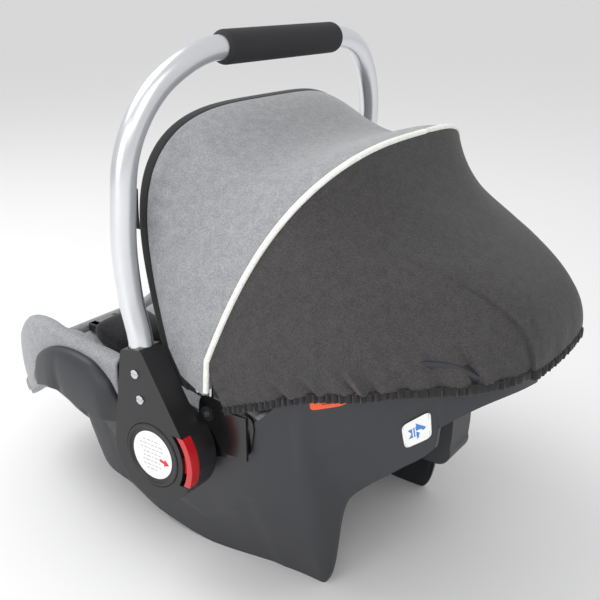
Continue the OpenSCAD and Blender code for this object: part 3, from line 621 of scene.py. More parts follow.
class Finishes:
    """Every finish of the seat, built once."""

    def __init__(self) -> None:
        """Builds the materials under the names that the pieces use."""
        streaks = (0.04, 1, 1)
        self.table: dict[str, tuple[bpy.types.Material, str]] = {}
        for name, finish in {
            "shell_plastic": MouldedPlastic(linear(46, 47, 52), 0.46, 0.04),
            "trim_plastic": MouldedPlastic(linear(27, 27, 29), 0.4, 0.04, slot="trim_plastic"),
            "gloss_trim": MouldedPlastic(linear(15, 15, 17), 0.22, 0.01, 0.3, slot="trim_plastic"),
            "red_plastic": MouldedPlastic(linear(196, 18, 26), 0.26, 0.01, 0.5, slot="red_plastic"),
            "grey_plastic": MouldedPlastic(linear(120, 121, 124), 0.4, 0.03, slot="grey_plastic"),
            "light_cloth": MelangeCloth(linear(126, 127, 130), linear(168, 169, 172), 1250.0),
            "lining_cloth": MelangeCloth(linear(122, 123, 126), linear(166, 167, 170), 1150.0),
            "dark_cloth": MelangeCloth(linear(54, 53, 54), linear(80, 78, 79), 1300.0, 0.12, "dark_cloth"),
            "black_padding": MelangeCloth(linear(20, 20, 22), linear(48, 48, 51), 760.0, 0.2,
                                          "black_padding"),
            "black_webbing": Webbing(linear(18, 18, 20)),
            "white_piping": MelangeCloth(linear(222, 222, 216), linear(250, 250, 244), 900.0, 0.1,
                                         "white_piping"),
            "aluminium_tube": SatinMetal(linear(226, 228, 231), 0.3, (1, 1, 0.04), "aluminium_tube"),
            "steel": SatinMetal(linear(205, 206, 210), 0.24, streaks),
            "foam_grip": CellFoam(linear(30, 30, 33)),
            "white_foam": CellFoam(linear(232, 232, 230), 260.0, 0.4, "white_foam"),
            "label_white": PrintedFilm(linear(240, 240, 239)),
            "label_orange": PrintedFilm(linear(240, 92, 44), "label_orange"),
            "print_blue": PrintedFilm(linear(66, 128, 204)),
            "print_red": PrintedFilm(linear(216, 44, 50)),
            "print_grey": PrintedFilm(linear(176, 178, 184)),
        }.items():
            self.table[name] = (finish.material(name), finish.slot)

    def dress(self, piece: bpy.types.Object, name: str, body: Body | str, *nodes: str) -> bpy.types.Object:
        """Gives a piece its finish and its body, hides the frame nodes it stands for, and reports it."""
        material, slot = self.table[name]
        piece.data.materials.clear()
        piece.data.materials.append(material)
        if nodes:
            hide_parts(*nodes)
        if isinstance(body, (Body, str)) and body:
            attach(piece, body.value if isinstance(body, Body) else body)
        log.info("%s: %s, %d faces", piece.name, name, len(piece.data.polygons))
        return piece


# ---------------------------------------------------------------- the shell and what follows it


@dataclass
class SeatShell:
    """The moulded shell: its outline curves, its body and the pieces laid on its sides."""

    foot_len: float = 345
    head_len: float = 309
    rim_half_w: float = 180
    canopy_half_w: float = 182
    rocker_half_w: float = 128
    foot_rim_z: float = 140
    wing_rim_z: float = 230
    pivot_rim_z: float = 212
    head_rim_z: float = 338
    bucket_z: float = 46
    wall: float = 4
    pivot_y: float = 20
    pivot_z: float = 162
    canopy_y: float = 63
    canopy_z: float = 206

    def __post_init__(self) -> None:
        """Works out the tables of the outline curves."""
        f, h = self.at_foot, self.at_head
        self.foot_y, self.head_y = f(1), h(1)
        self.leg_y, self.panel_y, self.nose_y = h(0.42), h(0.815), f(0.495)
        rz, bz, fz = self.head_rim_z, self.bucket_z, self.foot_rim_z
        self.rim_table = [
            (self.foot_y, fz), (f(0.92), fz + 26), (f(0.82), fz + 56), (f(0.73), self.wing_rim_z - 10),
            (f(0.61), self.wing_rim_z), (f(0.49), self.wing_rim_z - 4), (f(0.22), self.pivot_rim_z + 6),
            (self.pivot_y, self.pivot_rim_z - 8), (self.canopy_y, self.canopy_z - 16),
            (h(0.3), self.canopy_z + 2), (h(0.5), rz - 70), (h(0.75), rz - 42), (h(0.86), rz - 42),
            (h(0.93), rz - 58), (self.head_y, rz - 65)]
        self.belly_table = [
            (self.foot_y, fz - 30), (f(0.85), bz + 50), (f(0.65), bz + 32), (f(0.35), bz + 6),
            (self.pivot_y, bz), (h(0.2), bz + 18), (h(0.42), bz + 50), (h(0.6), bz + 102),
            (h(0.71), bz + 150), (h(0.8), bz + 184), (h(0.9), bz + 208), (self.head_y, bz + 218)]
        n, g = self.nose_y, self.leg_y
        self.skirt_table = [
            (self.foot_y, fz - 20), (f(0.8), fz - 8), (n - 8, fz + 8), (n, fz - 22), (n + 5, fz - 62),
            (n + 14, 56), (n + 38, 42), (n + 88, 16), (self.pivot_y - 10, 0), (g - 8, 0), (g + 4, 5),
            (g + 12, 30), (g + 19, 84), (g + 26, 110), (g + 45, 134), (g + 85, 172),
            (self.panel_y, 210), (self.panel_y + 4, bz + 186), (self.head_y, bz + 212)]
        w, r = self.rim_half_w, self.rocker_half_w
        self.skirt_x_table = [
            (self.foot_y, w), (n - 10, w - 14), (n + 6, r + 17), (n + 90, r + 7), (self.pivot_y, r),
            (g - 20, r - 15), (self.panel_y, r - 4), (self.panel_y + 6, w - 50), (self.head_y, w)]
        self.rings_y = [
            self.foot_y, self.foot_y + 4, self.foot_y + 4.5, self.foot_y + 16, f(0.9), f(0.82), f(0.73),
            f(0.63), f(0.54), n - 7, n - 3, n + 1, n + 5, n + 10, n + 20, n + 40, n + 70, n + 105,
            self.pivot_y - 10, self.pivot_y + 15, h(0.14), h(0.24), h(0.34), g - 8, g, g + 6, g + 12,
            g + 18, g + 26, g + 38, g + 55, g + 75, g + 100, self.panel_y - 1, self.panel_y + 4,
            h(0.88), h(0.94), self.head_y]

    def at_foot(self, share: float) -> float:
        """A place in the foot half, as a share of its length from the pivot."""
        return self.pivot_y - share * self.foot_len

    def at_head(self, share: float) -> float:
        """A place in the head half, as a share of its length from the pivot."""
        return self.pivot_y + share * self.head_len

    def rim_x(self, y: Array) -> Array:
        """Half width of the rim: a superellipse, power 3.2 at the foot end and 2.8 at the head end."""
        y = np.asarray(y, float)
        foot = y < self.pivot_y
        away = y - self.pivot_y
        s = np.where(foot, -0.984 * away / self.foot_len, 0.99 * away / self.head_len)
        n = np.where(foot, 3.2, 2.8)
        full = hermite([(self.pivot_y, self.rim_half_w), (self.at_head(0.25), self.canopy_half_w)], y)
        return full * (1 - np.minimum(0.999, s) ** n) ** (1 / n)

    def rim_z(self, y: Array) -> Array:
        """Height of the rim."""
        return hermite(self.rim_table, y)

    def belly_z(self, y: Array) -> Array:
        """Height of the underside on the centre line."""
        return hermite(self.belly_table, y)

    def skirt_z(self, y: Array) -> Array:
        """Height of the side wall's lower edge: the floor along the rockers."""
        y = np.asarray(y, float)
        flat = (y > self.pivot_y - 10) & (y < self.leg_y - 8)
        return np.minimum(np.where(flat, 0, np.maximum(0, hermite(self.skirt_table, y))), self.rim_z(y) - 10)

    def skirt_x(self, y: Array) -> Array:
        """Half width at the side wall's lower edge."""
        return np.minimum(self.rim_x(y) - 4, hermite(self.skirt_x_table, y))

    def side_x(self, y: Array, q: Array) -> Array:
        """The side wall from the rim (0) to its lower edge (1), drawn in as q to the power 1.6."""
        return self.rim_x(y) + (self.skirt_x(y) - self.rim_x(y)) * np.clip(q, 0, 1) ** 1.6

    def side_x_at(self, y: Array, z: Array) -> Array:
        """The side wall's half width at a height."""
        top = self.rim_z(y)
        return self.side_x(y, np.clip((top - z) / (top - self.skirt_z(y)), 0, 1))

    def join_z(self, y: Array) -> Array:
        """Height at which the tub meets the side wall."""
        return np.minimum(self.rim_z(y) - 8, np.maximum(self.skirt_z(y) + 6, self.belly_z(y) + 34))

    def tub_power(self, y: Array) -> Array:
        """Shape of the tub across: a V at the foot end and a flat-bottomed U further on."""
        f = self.at_foot
        table = [(self.foot_y, 1.7), (f(0.75), 1.35), (f(0.5), 0.9), (f(0.3), 0.7), (self.head_y, 0.7)]
        return hermite(table, y)

    def tub(self, y: Array, off: Array | float, top: float, low: int = 24, high: int = 10
            ) -> tuple[Array, Array]:
        """Half section of the tub's inside, lifted by off from the shell.

        Below the join it is x = x1 sin^p, z = z0 + (z1 - z0)(1 - cos^p); above, it follows the side wall.

        Args:
            y: (n, 1) places along the length.
            off: lift from the shell's inner face, in millimetres.
            top: how far below the rim it ends.
            low: steps below the join.
            high: steps above it.

        Returns:
            x and z, each (n, low + high + 1), from the centre line outwards.
        """
        z0 = self.belly_z(y) + self.wall + off
        z1 = np.minimum(self.join_z(y) + self.wall * 1.5 + off, self.rim_z(y) - max(1, top + 0.5))
        x1 = self.side_x_at(y, z1) - self.wall - off
        a = np.linspace(0, np.pi / 2, low + 1)[None, :]
        p = self.tub_power(y)
        r = np.linspace(0, 1, high + 1)[None, 1:]
        zh = z1 + (self.rim_z(y) - top - z1) * r
        xh = self.side_x_at(y, zh) - self.wall - off
        cos_p = np.maximum(np.cos(a), 0) ** p
        return (np.concatenate([x1 * np.sin(a) ** p, xh], 1),
                np.concatenate([z0 + (z1 - z0) * (1 - cos_p), zh], 1))

    def relief(self, y: Array, z: Array) -> Array:
        """The side wall's moulded steps, as a lift in millimetres: a crease on the rear panel, a stepped
        curve below the hub and a bead along the rim. Each is a smooth step across its line."""
        rear = np.interp(y, [140, 159, 243, 285], [150, 168, 240, 274])
        low = np.interp(y, [-110, -78, -38, 16, 65, 90], [132, 100, 69, 50, 79, 108])
        step = 2.2 * smooth((z - rear) / 5 + 0.5) * smooth((y - 148) / 14)
        step = step - 1.8 * smooth((low - z) / 4 + 0.5) * smooth((y + 120) / 14) * smooth((100 - y) / 14)
        return step + 1.6 * smooth((z - self.rim_z(y) + 7) / 3)

    def body(self) -> bpy.types.Object:
        """The shell as one closed skin: underside, skirt, outer wall, rim and the inside of the tub."""
        y = np.unique(spread(self.rings_y, 5))[:, None]
        w = self.wall
        a = np.linspace(0, np.pi / 2, 23)[None, :]
        p, jz, bz = self.tub_power(y), self.join_z(y), self.belly_z(y)
        x1 = self.side_x_at(y, jz) - w
        under = (x1 * np.sin(a) ** p, bz + (jz - bz) * (1 - np.maximum(np.cos(a), 0) ** p))
        jq = (self.rim_z(y) - jz) / (self.rim_z(y) - self.skirt_z(y))
        q_in = jq + (1 - jq) * np.linspace(0, 1, 7)[None, 1:]
        drop = self.rim_z(y) - self.skirt_z(y)
        inner = (self.side_x(y, q_in) - w, self.rim_z(y) - drop * q_in)
        q = np.linspace(1, 0, 48)[None, :]
        z_out = self.rim_z(y) - drop * q
        outer = (self.side_x(y, q) + self.relief(y, z_out), z_out)
        tx, tz = self.tub(y, 0, 0)
        lid = np.linspace(0, 1, tx.shape[1])[None, :]
        closed = y <= self.foot_y + w + 0.1
        tx = np.where(closed, (self.side_x(y, 0 * lid) - w) * lid, tx)
        tz = np.where(closed, self.rim_z(y) - 1, tz)
        x = np.concatenate([under[0], inner[0], outer[0], tx[:, ::-1]], 1)
        z = np.concatenate([under[1], inner[1], outer[1], tz[:, ::-1]], 1)
        x, z = np.concatenate([x, -x[:, -2:0:-1]], 1), np.concatenate([z, z[:, -2:0:-1]], 1)
        return loft_object("shell_body", np.stack([x, np.broadcast_to(y, x.shape), z], -1), 42)

    def lining(self, name: str, off0: float, off1: float, puff: float) -> bpy.types.Object:
        """A band along the tub between two lifts; puff sinks its channels, 58 mm apart."""
        y = np.linspace(self.at_foot(0.92), self.at_head(0.78), 150)[:, None]
        channel = np.abs(np.sin(np.pi * (y - self.foot_y) / 58)) ** 0.45
        ax, az = self.tub(y, off0, 21, 30, 10)
        bx, bz = self.tub(y, off1 - puff * (1 - channel), 21, 30, 10)
        x = np.concatenate([-ax[:, :0:-1], ax, bx[:, ::-1], -bx[:, 1:]], 1)
        z = np.concatenate([az[:, :0:-1], az, bz[:, ::-1], bz[:, 1:]], 1)
        return loft_object(name, np.stack([x, np.broadcast_to(y, x.shape), z], -1), 50)

    def pad_top(self, x: Array, y: Array) -> Array:
        """Height of the seat pad's upper face."""
        off = LINER_OFF + LINER_T + 3 + PAD_T
        z1 = np.minimum(self.join_z(y) + self.wall * 1.5 + off, self.rim_z(y) - 21.5)
        x1 = self.side_x_at(y, z1) - self.wall - off
        z0 = self.belly_z(y) + self.wall + off
        p = self.tub_power(y)
        u = np.minimum(0.95, np.abs(x) / x1)
        return z0 + (z1 - z0) * (1 - (1 - u ** (2 / p)) ** (p / 2))

    def patch(self, name: str, corners: Outline, side: Side, lift: float, thick: float,
              round_: float = 0.16) -> bpy.types.Object:
        """A thin plate laid on the side wall, its corners as (y, z) in order and rounded off.

        A disc is squared off into the plate: u and v are its cosine and sine to a low power.
        """
        r = np.linspace(0, 1, 9)[:, None]
        a = np.linspace(0, 2 * np.pi, 64, endpoint=False)[None, :]
        u, v = power(np.cos(a), round_ * 2) * r, power(np.sin(a), round_ * 2) * r
        y, z = across_corners(corners, (u + 1) / 2, (v + 1) / 2)
        x = self.side_x_at(y, z) + self.relief(y, z) * 0.6 + lift
        top = np.stack([side.value * x, y, z], -1)
        rim = top[-1:] - np.array([side.value * thick, 0, 0])
        grid = np.concatenate([top, rim]).transpose(1, 0, 2)
        return sheet_object(name, grid, 0, np.array([0, 100, 150]), True)

    def marks(self, name: str, shapes: Shapes, corners: Outline, side: Side, lift: float
              ) -> bpy.types.Object:
        """Printed marks on a patch: polygons in the patch's own u and v, from 0 to 1, as flat faces."""
        def place(shape: Array) -> Array:
            """The polygon's points on the side wall."""
            y, z = across_corners(corners, *shape.T)
            x = self.side_x_at(y, z) + self.relief(y, z) * 0.6 + lift
            return np.stack([side.value * x, y, z], -1)

        return printed(name, shapes, place, side)

    def build(self, looks: Finishes) -> None:
        """Builds the shell, its hook, guides, mounts and labels."""
        looks.dress(self.body(), "shell_plastic", Body.SEAT, "shell")
        looks.dress(softened("shoulder_belt_hook", 3.5), "shell_plastic", Body.SEAT, "shoulder_belt_hook")
        belt = [(246, 203), (270, 222), (270, 250), (246, 230)]
        caution = [(172, 236), (200, 246), (226, 268), (172, 252)]
        arrow = [[(0.2, 0.32), (0.5, 0.32), (0.5, 0.18), (0.84, 0.5), (0.5, 0.82), (0.5, 0.68), (0.2, 0.68),
                  (0.32, 0.5)]]
        stripes = [[(0.36, 0.34), (0.4, 0.34), (0.4, 0.66), (0.36, 0.66)],
                   [(0.45, 0.34), (0.49, 0.34), (0.49, 0.66), (0.45, 0.66)]]
        lines = [[(0.3, k), (0.7, k), (0.7, k + 0.05), (0.3, k + 0.05)] for k in (0.3, 0.42, 0.54)]
        frame_lines = [[(0.05, 0.05), (0.95, 0.05), (0.95, 0.065), (0.05, 0.065)],
                       [(0.05, 0.935), (0.95, 0.935), (0.95, 0.95), (0.05, 0.95)],
                       [(0.05, 0.05), (0.065, 0.05), (0.065, 0.95), (0.05, 0.95)],
                       [(0.935, 0.05), (0.95, 0.05), (0.95, 0.95), (0.935, 0.95)]]
        for side in Side:
            looks.dress(self.guide(side), "shell_plastic", Body.SEAT, f"lap_guide_{side.tag}")
            looks.dress(softened(f"canopy_mount_{side.tag}", 1.2), "gloss_trim", Body.SEAT,
                        f"canopy_mount_{side.tag}")
            # Near-black plate on the side wall between the hub and the canopy mount: partly the black plastic
            # of the boss there, partly painted shade that stands for the boss's shaded side, which is not
            # modelled.
            boss_shade_corners = [(48, 152), (108, 168), (118, 216), (50, 226)]
            t = side.tag
            prints = [
                (f"belt_arrow_{t}", arrow, belt, PRINT_LIFT, "print_blue"),
                (f"belt_stripes_{t}", stripes, belt, OVERPRINT_LIFT, "label_white"),
                (f"belt_border_{t}", frame_lines, belt, PRINT_LIFT, "print_grey"),
                (f"caution_lines_{t}", lines, caution, PRINT_LIFT, "trim_plastic")]
            # The plate of black boss colour and painted shade, laid flat on the wall in gloss trim.
            looks.dress(self.patch(f"mount_cheek_{t}", boss_shade_corners, side, 2.6, 3.0, 0.2), "gloss_trim", Body.SEAT)
            looks.dress(self.patch(f"belt_sticker_{t}", belt, side, 1.5, 0.9), "label_white", Body.SEAT,
                        f"belt_label_{t}")
            looks.dress(self.patch(f"caution_sticker_{t}", caution, side, 1.5, 0.9), "label_orange",
                        Body.SEAT, f"caution_label_{t}")
            for name, shapes, corners, lift, look in prints:
                looks.dress(self.marks(name, shapes, corners, side, lift), look, Body.SEAT)

    def guide(self, side: Side) -> bpy.types.Object:
        """The lap belt's hooded guide: a quarter oval from its top edge out and down, 3 mm thick."""
        y0, y1 = self.at_foot(0.69), self.pivot_y - 76
        y = np.linspace(0, 1, 60)[:, None]
        y = y0 + (y1 - y0) * y
        top = hermite([(y0, 172), (y0 + 18, 197), (y0 + 65, 219), (y1 - 45, 219), (y1 - 17, 202),
                       (y1, 178)], y)
        low = hermite([(y0, 157), (y0 + 54, 170), (y1 - 42, 158), (y1, 157)], y)
        deep = hermite([(y0, 7), (y0 + 22, 14), (y1 - 30, 16), (y1, 7.5)], y)
        a = np.linspace(0, np.pi / 2, 22)[None, :]
        arcs = []
        cut = 0.72
        for depth, high in ((deep, top), (deep - 3, top - 3)):
            z = low + (high - low) * np.sin(a) ** 0.9
            out = depth * np.maximum(np.cos(a), 0) ** cut
            arcs.append((self.side_x_at(y, z) + COVER_GAP + COVER_T + 1 + out, z))
        x = np.concatenate([arcs[0][0], arcs[1][0][:, ::-1]], 1)
        z = np.concatenate([arcs[0][1], arcs[1][1][:, ::-1]], 1)
        rings = np.stack([side.value * x, np.broadcast_to(y, x.shape), z], -1)
        return loft_object(f"guide_hood_{side.tag}", rings, 50)



@dataclass
class FootCover:
    """The melange cloth pulled over the foot end's rim."""

    shell: SeatShell
    gap: float = COVER_GAP
    thick: float = 2.4

    def build(self, looks: Finishes) -> None:
        """Lays the wrap round the rim from one side to the other, as one stretched sheet with a hem cord."""
        s = self.shell
        end = s.pivot_y - 82
        # stations down the right side, round the foot end and back up the left side
        rows = np.linspace(end, s.foot_y + 1.2, 90)
        xs = s.rim_x(rows)
        front = np.linspace(1, -1, 31)[1:-1] * xs[-1]
        base_y = np.concatenate([rows, np.full(len(front), s.foot_y), rows[::-1]])
        base_x = np.concatenate([xs, front, -xs[::-1]])
        line = np.stack([base_x, base_y], -1)
        tangent = unit(np.gradient(line, axis=0))
        out = np.stack([-tangent[:, 1], tangent[:, 0]], -1)
        out *= np.sign((out * np.stack([base_x, base_y - s.pivot_y], -1)).sum(1, keepdims=True))
        for _ in range(6):
            out[1:-1] = unit(out[:-2] + 2 * out[1:-1] + out[2:])
        zt = s.rim_z(base_y)
        zb = hermite([(s.foot_y, 112), (s.at_foot(0.86), 113), (s.at_foot(0.8), 117), (s.at_foot(0.64), 150),
                      (s.nose_y, 167), (s.at_foot(0.34), 156), (end, 154)], base_y)
        lip = hermite([(s.foot_y, 6), (s.at_foot(0.86), 8), (s.at_foot(0.72), 14), (end, 14)], base_y)
        o_out, o_in = self.gap + 1.6, -s.wall - self.gap - 1.6
        mid, half = (o_out + o_in) / 2, (o_out - o_in) / 2
        u = np.linspace(0, 1, 16)[None, :]
        arc = np.linspace(0, np.pi, 15)[None, 1:-1]
        puff = 1.6 * np.sin(np.pi * u) * np.ones_like(zt)[:, None]
        z = np.concatenate([zb[:, None] + (zt - zb)[:, None] * u, zt[:, None] + (half + 0.8) * np.sin(arc),
                            zt[:, None] - lip[:, None] * u[:, ::2]], 1)
        bent = np.broadcast_to(mid + half * np.cos(arc), (len(zt), arc.shape[1]))
        off = np.concatenate([o_out + puff, bent,
                              np.full((len(zt), 8), o_in)], 1)
        side_shift = s.side_x_at(base_y[:, None], z) - s.rim_x(base_y)[:, None]
        side_shift *= (np.abs(base_x) > s.rim_x(s.foot_y + 1.2) - 1)[:, None] * (z < zt[:, None])
        grid = np.stack([base_x[:, None] + np.sign(base_x)[:, None] * side_shift + out[:, :1] * off,
                         base_y[:, None] + out[:, 1:] * off, z], -1)
        ripple = 0.7 * np.sin(np.arange(len(zt)) * 0.42)[:, None] * smooth((zb[:, None] + 26 - z) / 26)
        grid[..., :2] += out[:, None] * ripple[..., None]
        cover = sheet_object("foot_wrap", grid, self.thick, np.array([0, -150, 150.0]))
        looks.dress(cover, "lining_cloth", Body.SEAT, "foot_cover")
        width = np.linalg.norm(np.diff(grid, axis=1), axis=2).sum(1)
        area = tape_area(grid[:, 10], width)
        seam = grid[:, 1] + np.stack([out[:, 0] * 1.4, out[:, 1] * 1.4, np.zeros(len(zt))], -1)
        rings = carried(seam, oval(2.4, 5.5, 10), np.array([0.0, 0.02, 1.0]))
        cord = loft_object("foot_wrap_edge", rings)
        looks.dress(cord, "lining_cloth", Body.SEAT)


@dataclass
class Padding:
    """Liner, seat pad, head pillow, harness pads and straps."""

    shell: SeatShell
    strap_x: float = 44
    strap_lift: float = 4
    buckle_lift: float = 20
    web_w: float = 38
    web_t: float = 1.6

    def cushion(self, name: str, y0: float, y1: float, width: float, thick: float, lift: float, x: float = 0,
                shrink: float = 1.5) -> bpy.types.Object:
        """A rounded pad on the seat pad: boxy oval sections whose size follows (1 - |s|^4)^0.5 along it."""
        s = np.linspace(-1, 1, 41)
        y = (y0 + y1) / 2 + (y1 - y0) / 2 * s * 0.985
        e = np.maximum(0.1, (1 - np.abs(s) ** 4) ** 0.5)
        o = oval(1, 1, 44, 0.6)
        w = (width - 2 * shrink) * (0.72 + 0.28 * e)
        t = (thick - 2 * shrink) * e
        cx = np.full_like(y, x)
        cz = self.shell.pad_top(cx, y) + lift + thick / 2
        rings = np.stack([cx[:, None] + o[None, :, 0] * w[:, None], np.broadcast_to(y[:, None], (41, 44)),
                          cz[:, None] + o[None, :, 1] * t[:, None]], -1)
        return loft_object(name, rings, 60)

    def seam(self, name: str, y0: float, y1: float, width: float, thick: float, lift: float, x: float = 0
             ) -> bpy.types.Object:
        """A piped seam round a pad's middle height."""
        a = np.linspace(0, 2 * np.pi, 97)[:-1]
        u, v = power(np.cos(a), 0.55), power(np.sin(a), 0.55)
        y = (y0 + y1) / 2 + (y1 - y0) / 2 * v
        z = self.shell.pad_top(np.full_like(y, x), y) + lift + thick / 2
        path = np.stack([x + width / 2 * u, y, z], -1)
        t = unit(np.roll(path, -1, 0) - np.roll(path, 1, 0))
        up = np.array([0, 0, 1.0])
        n = unit(np.cross(t, up))
        b = np.cross(n, t)
        o = oval(2.2, 2.2, 8)
        rings = path[:, None] + n[:, None] * o[None, :, :1] + b[:, None] * o[None, :, 1:]
        return as_object(name, rings, grid_faces(len(path), 8, True, True).tolist(), 80)

    def strap_at(self, y: Array, side: float) -> Array:
        """Centre line of a shoulder strap: it leaves the pad at the shoulder and closes in on the buckle."""
        t = smooth((40 - y) / 150)
        x = self.strap_x + (15 - self.strap_x) * t
        z = self.shell.pad_top(x, y) + self.strap_lift + (self.buckle_lift - self.strap_lift + 4) * t
        return np.stack([side * x, y, z], -1)

    def build(self, looks: Finishes) -> None:
        """Builds the soft parts inside the shell."""
        s = self.shell
        liner = s.lining("foam_lining", LINER_OFF, LINER_OFF + LINER_T, 0.0)
        looks.dress(liner, "white_foam", Body.SEAT, "foam_liner")
        off = LINER_OFF + LINER_T + 3
        pad = s.lining("seat_cushion", off, off + PAD_T, 5.0)
        looks.dress(pad, "lining_cloth", Body.SEAT, "seat_pad")
        y = np.linspace(s.at_head(0.78) + 1.5, s.head_y - 2, 40)[:, None]
        lx, lz = s.tub(y, LINER_OFF + 2.4, 6, 20, 8)
        e_x, e_z = lx[:, -1:], lz[:, -1:]
        h, rz = s.at_head, s.head_rim_z
        crest = [(h(0.78), rz + 2), (h(0.86), rz + 6), (h(0.92), rz - 10), (h(0.97), rz - 36),
                 (s.head_y, rz - 58)]
        zt = np.maximum(e_z + 2, hermite(crest, y))
        a = np.linspace(np.pi / 2, 0, 26)[None, 1:]
        x = np.concatenate([lx, e_x * np.sin(a) ** 1.1], 1)
        z = np.concatenate([lz, e_z + (zt - e_z) * np.cos(a) ** 1.1], 1)
        x, z = np.concatenate([x, -x[:, -2:0:-1]], 1), np.concatenate([z, z[:, -2:0:-1]], 1)
        block = loft_object("head_bolster", np.stack([x, np.broadcast_to(y, x.shape), z], -1), 60)
        looks.dress(block, "lining_cloth", Body.SEAT, "head_block")

        pads = [("pillow", (152, 236, 150, 22, 10, 0), "light_cloth", "head_pillow", 5.0, 4.0),
                ("crotch_cushion", (-268, -200, 92, 40, 4, 0), "black_padding", "crotch_pad", 5.0, 4.0)]
        for side in Side:
            pads.append((f"shoulder_cushion_{side.tag}",
                         (46, 126, self.web_w + 14, 9, self.strap_lift + self.web_t + 1.2,
                          side.value * self.strap_x),
                         "black_padding", f"shoulder_pad_{side.tag}", 3.0, 3.0))
        for name, size, look, node, most, voxel in pads:
            piece = self.cushion(name, *size)
            plumped(piece, voxel, most)
            edge = self.seam(name + "_seam", size[0] + 1, size[1] - 1, size[2] - 3, size[3], size[4], size[5])
            looks.dress(piece, look, Body.SEAT, node)
            looks.dress(edge, look, Body.SEAT)

        ys = np.linspace(138, -136, 90)
        section = oval(1, 1, 20, 0.25)
        for side in Side:
            path = self.strap_at(ys, side.value)
            w = self.web_w * (1 - 0.33 * smooth((0 - ys) / 100))
            size = np.stack([w, np.full_like(w, self.web_t)], -1)[:, None]
            wave = np.stack([0 * ys, 0 * ys, 0.8 * np.sin(ys / 21)], -1)
            rings = carried(path + wave, section[None] * size, np.array([1.0, 0, 0]))
            strap = loft_object(f"harness_strap_{side.tag}", rings, 50)
            looks.dress(strap, "black_webbing", Body.SEAT, f"shoulder_strap_{side.tag}")
            tape_area(path, w)
        self.short_straps(looks, section)
        looks.dress(softened("buckle_body", 2.5), "trim_plastic", Body.SEAT, "buckle_body")
        for side in Side:
            looks.dress(softened(f"buckle_tongue_{side.tag}", 0.5, 2), "steel", Body.SEAT,
                        f"buckle_tongue_{side.tag}")
        looks.dress(softened("buckle_button", 1.2), "red_plastic", "buckle_button", "buckle_button")
        looks.dress(softened("adjuster_housing", 2.0), "trim_plastic", Body.SEAT, "adjuster_housing")
        looks.dress(softened("adjuster_button", 1.0), "grey_plastic", "adjuster_button", "adjuster_button")


    def short_straps(self, looks: Finishes, section: Array) -> None:
        """The crotch strap up to the buckle and the tail of the adjuster's strap, as bowed lengths of tape.

        Each path is a straight line between the ends of the frame's own strap, with a bow of half a sine.
        """
        size = np.array([1.0, self.web_t])
        for node, width, bow in (("crotch_strap", 30.0, 0.6), ("adjuster_strap", 38.0, 0.0)):
            low, high = (np.array(c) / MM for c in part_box(node))
            t = np.linspace(0, 1, 24)
            upright = high[2] - low[2] > high[1] - low[1]
            if upright:
                path = np.stack([0 * t, (low[1] + high[1]) / 2 + bow * np.sin(np.pi * t),
                                 low[2] + 0.5 + (high[2] - low[2] - 1) * t], -1)
            else:
                path = np.stack([0 * t, low[1] + (high[1] - low[1]) * t,
                                 (low[2] + high[2]) / 2 + 0.4 * np.sin(np.pi * t)], -1)
            rings = carried(path, section * size * [width, 1], np.array([1.0, 0, 0]))
            strap = loft_object(f"{node}_tape", rings, 50)
            looks.dress(strap, "black_webbing", Body.SEAT, node)


# ---------------------------------------------------------------- handle


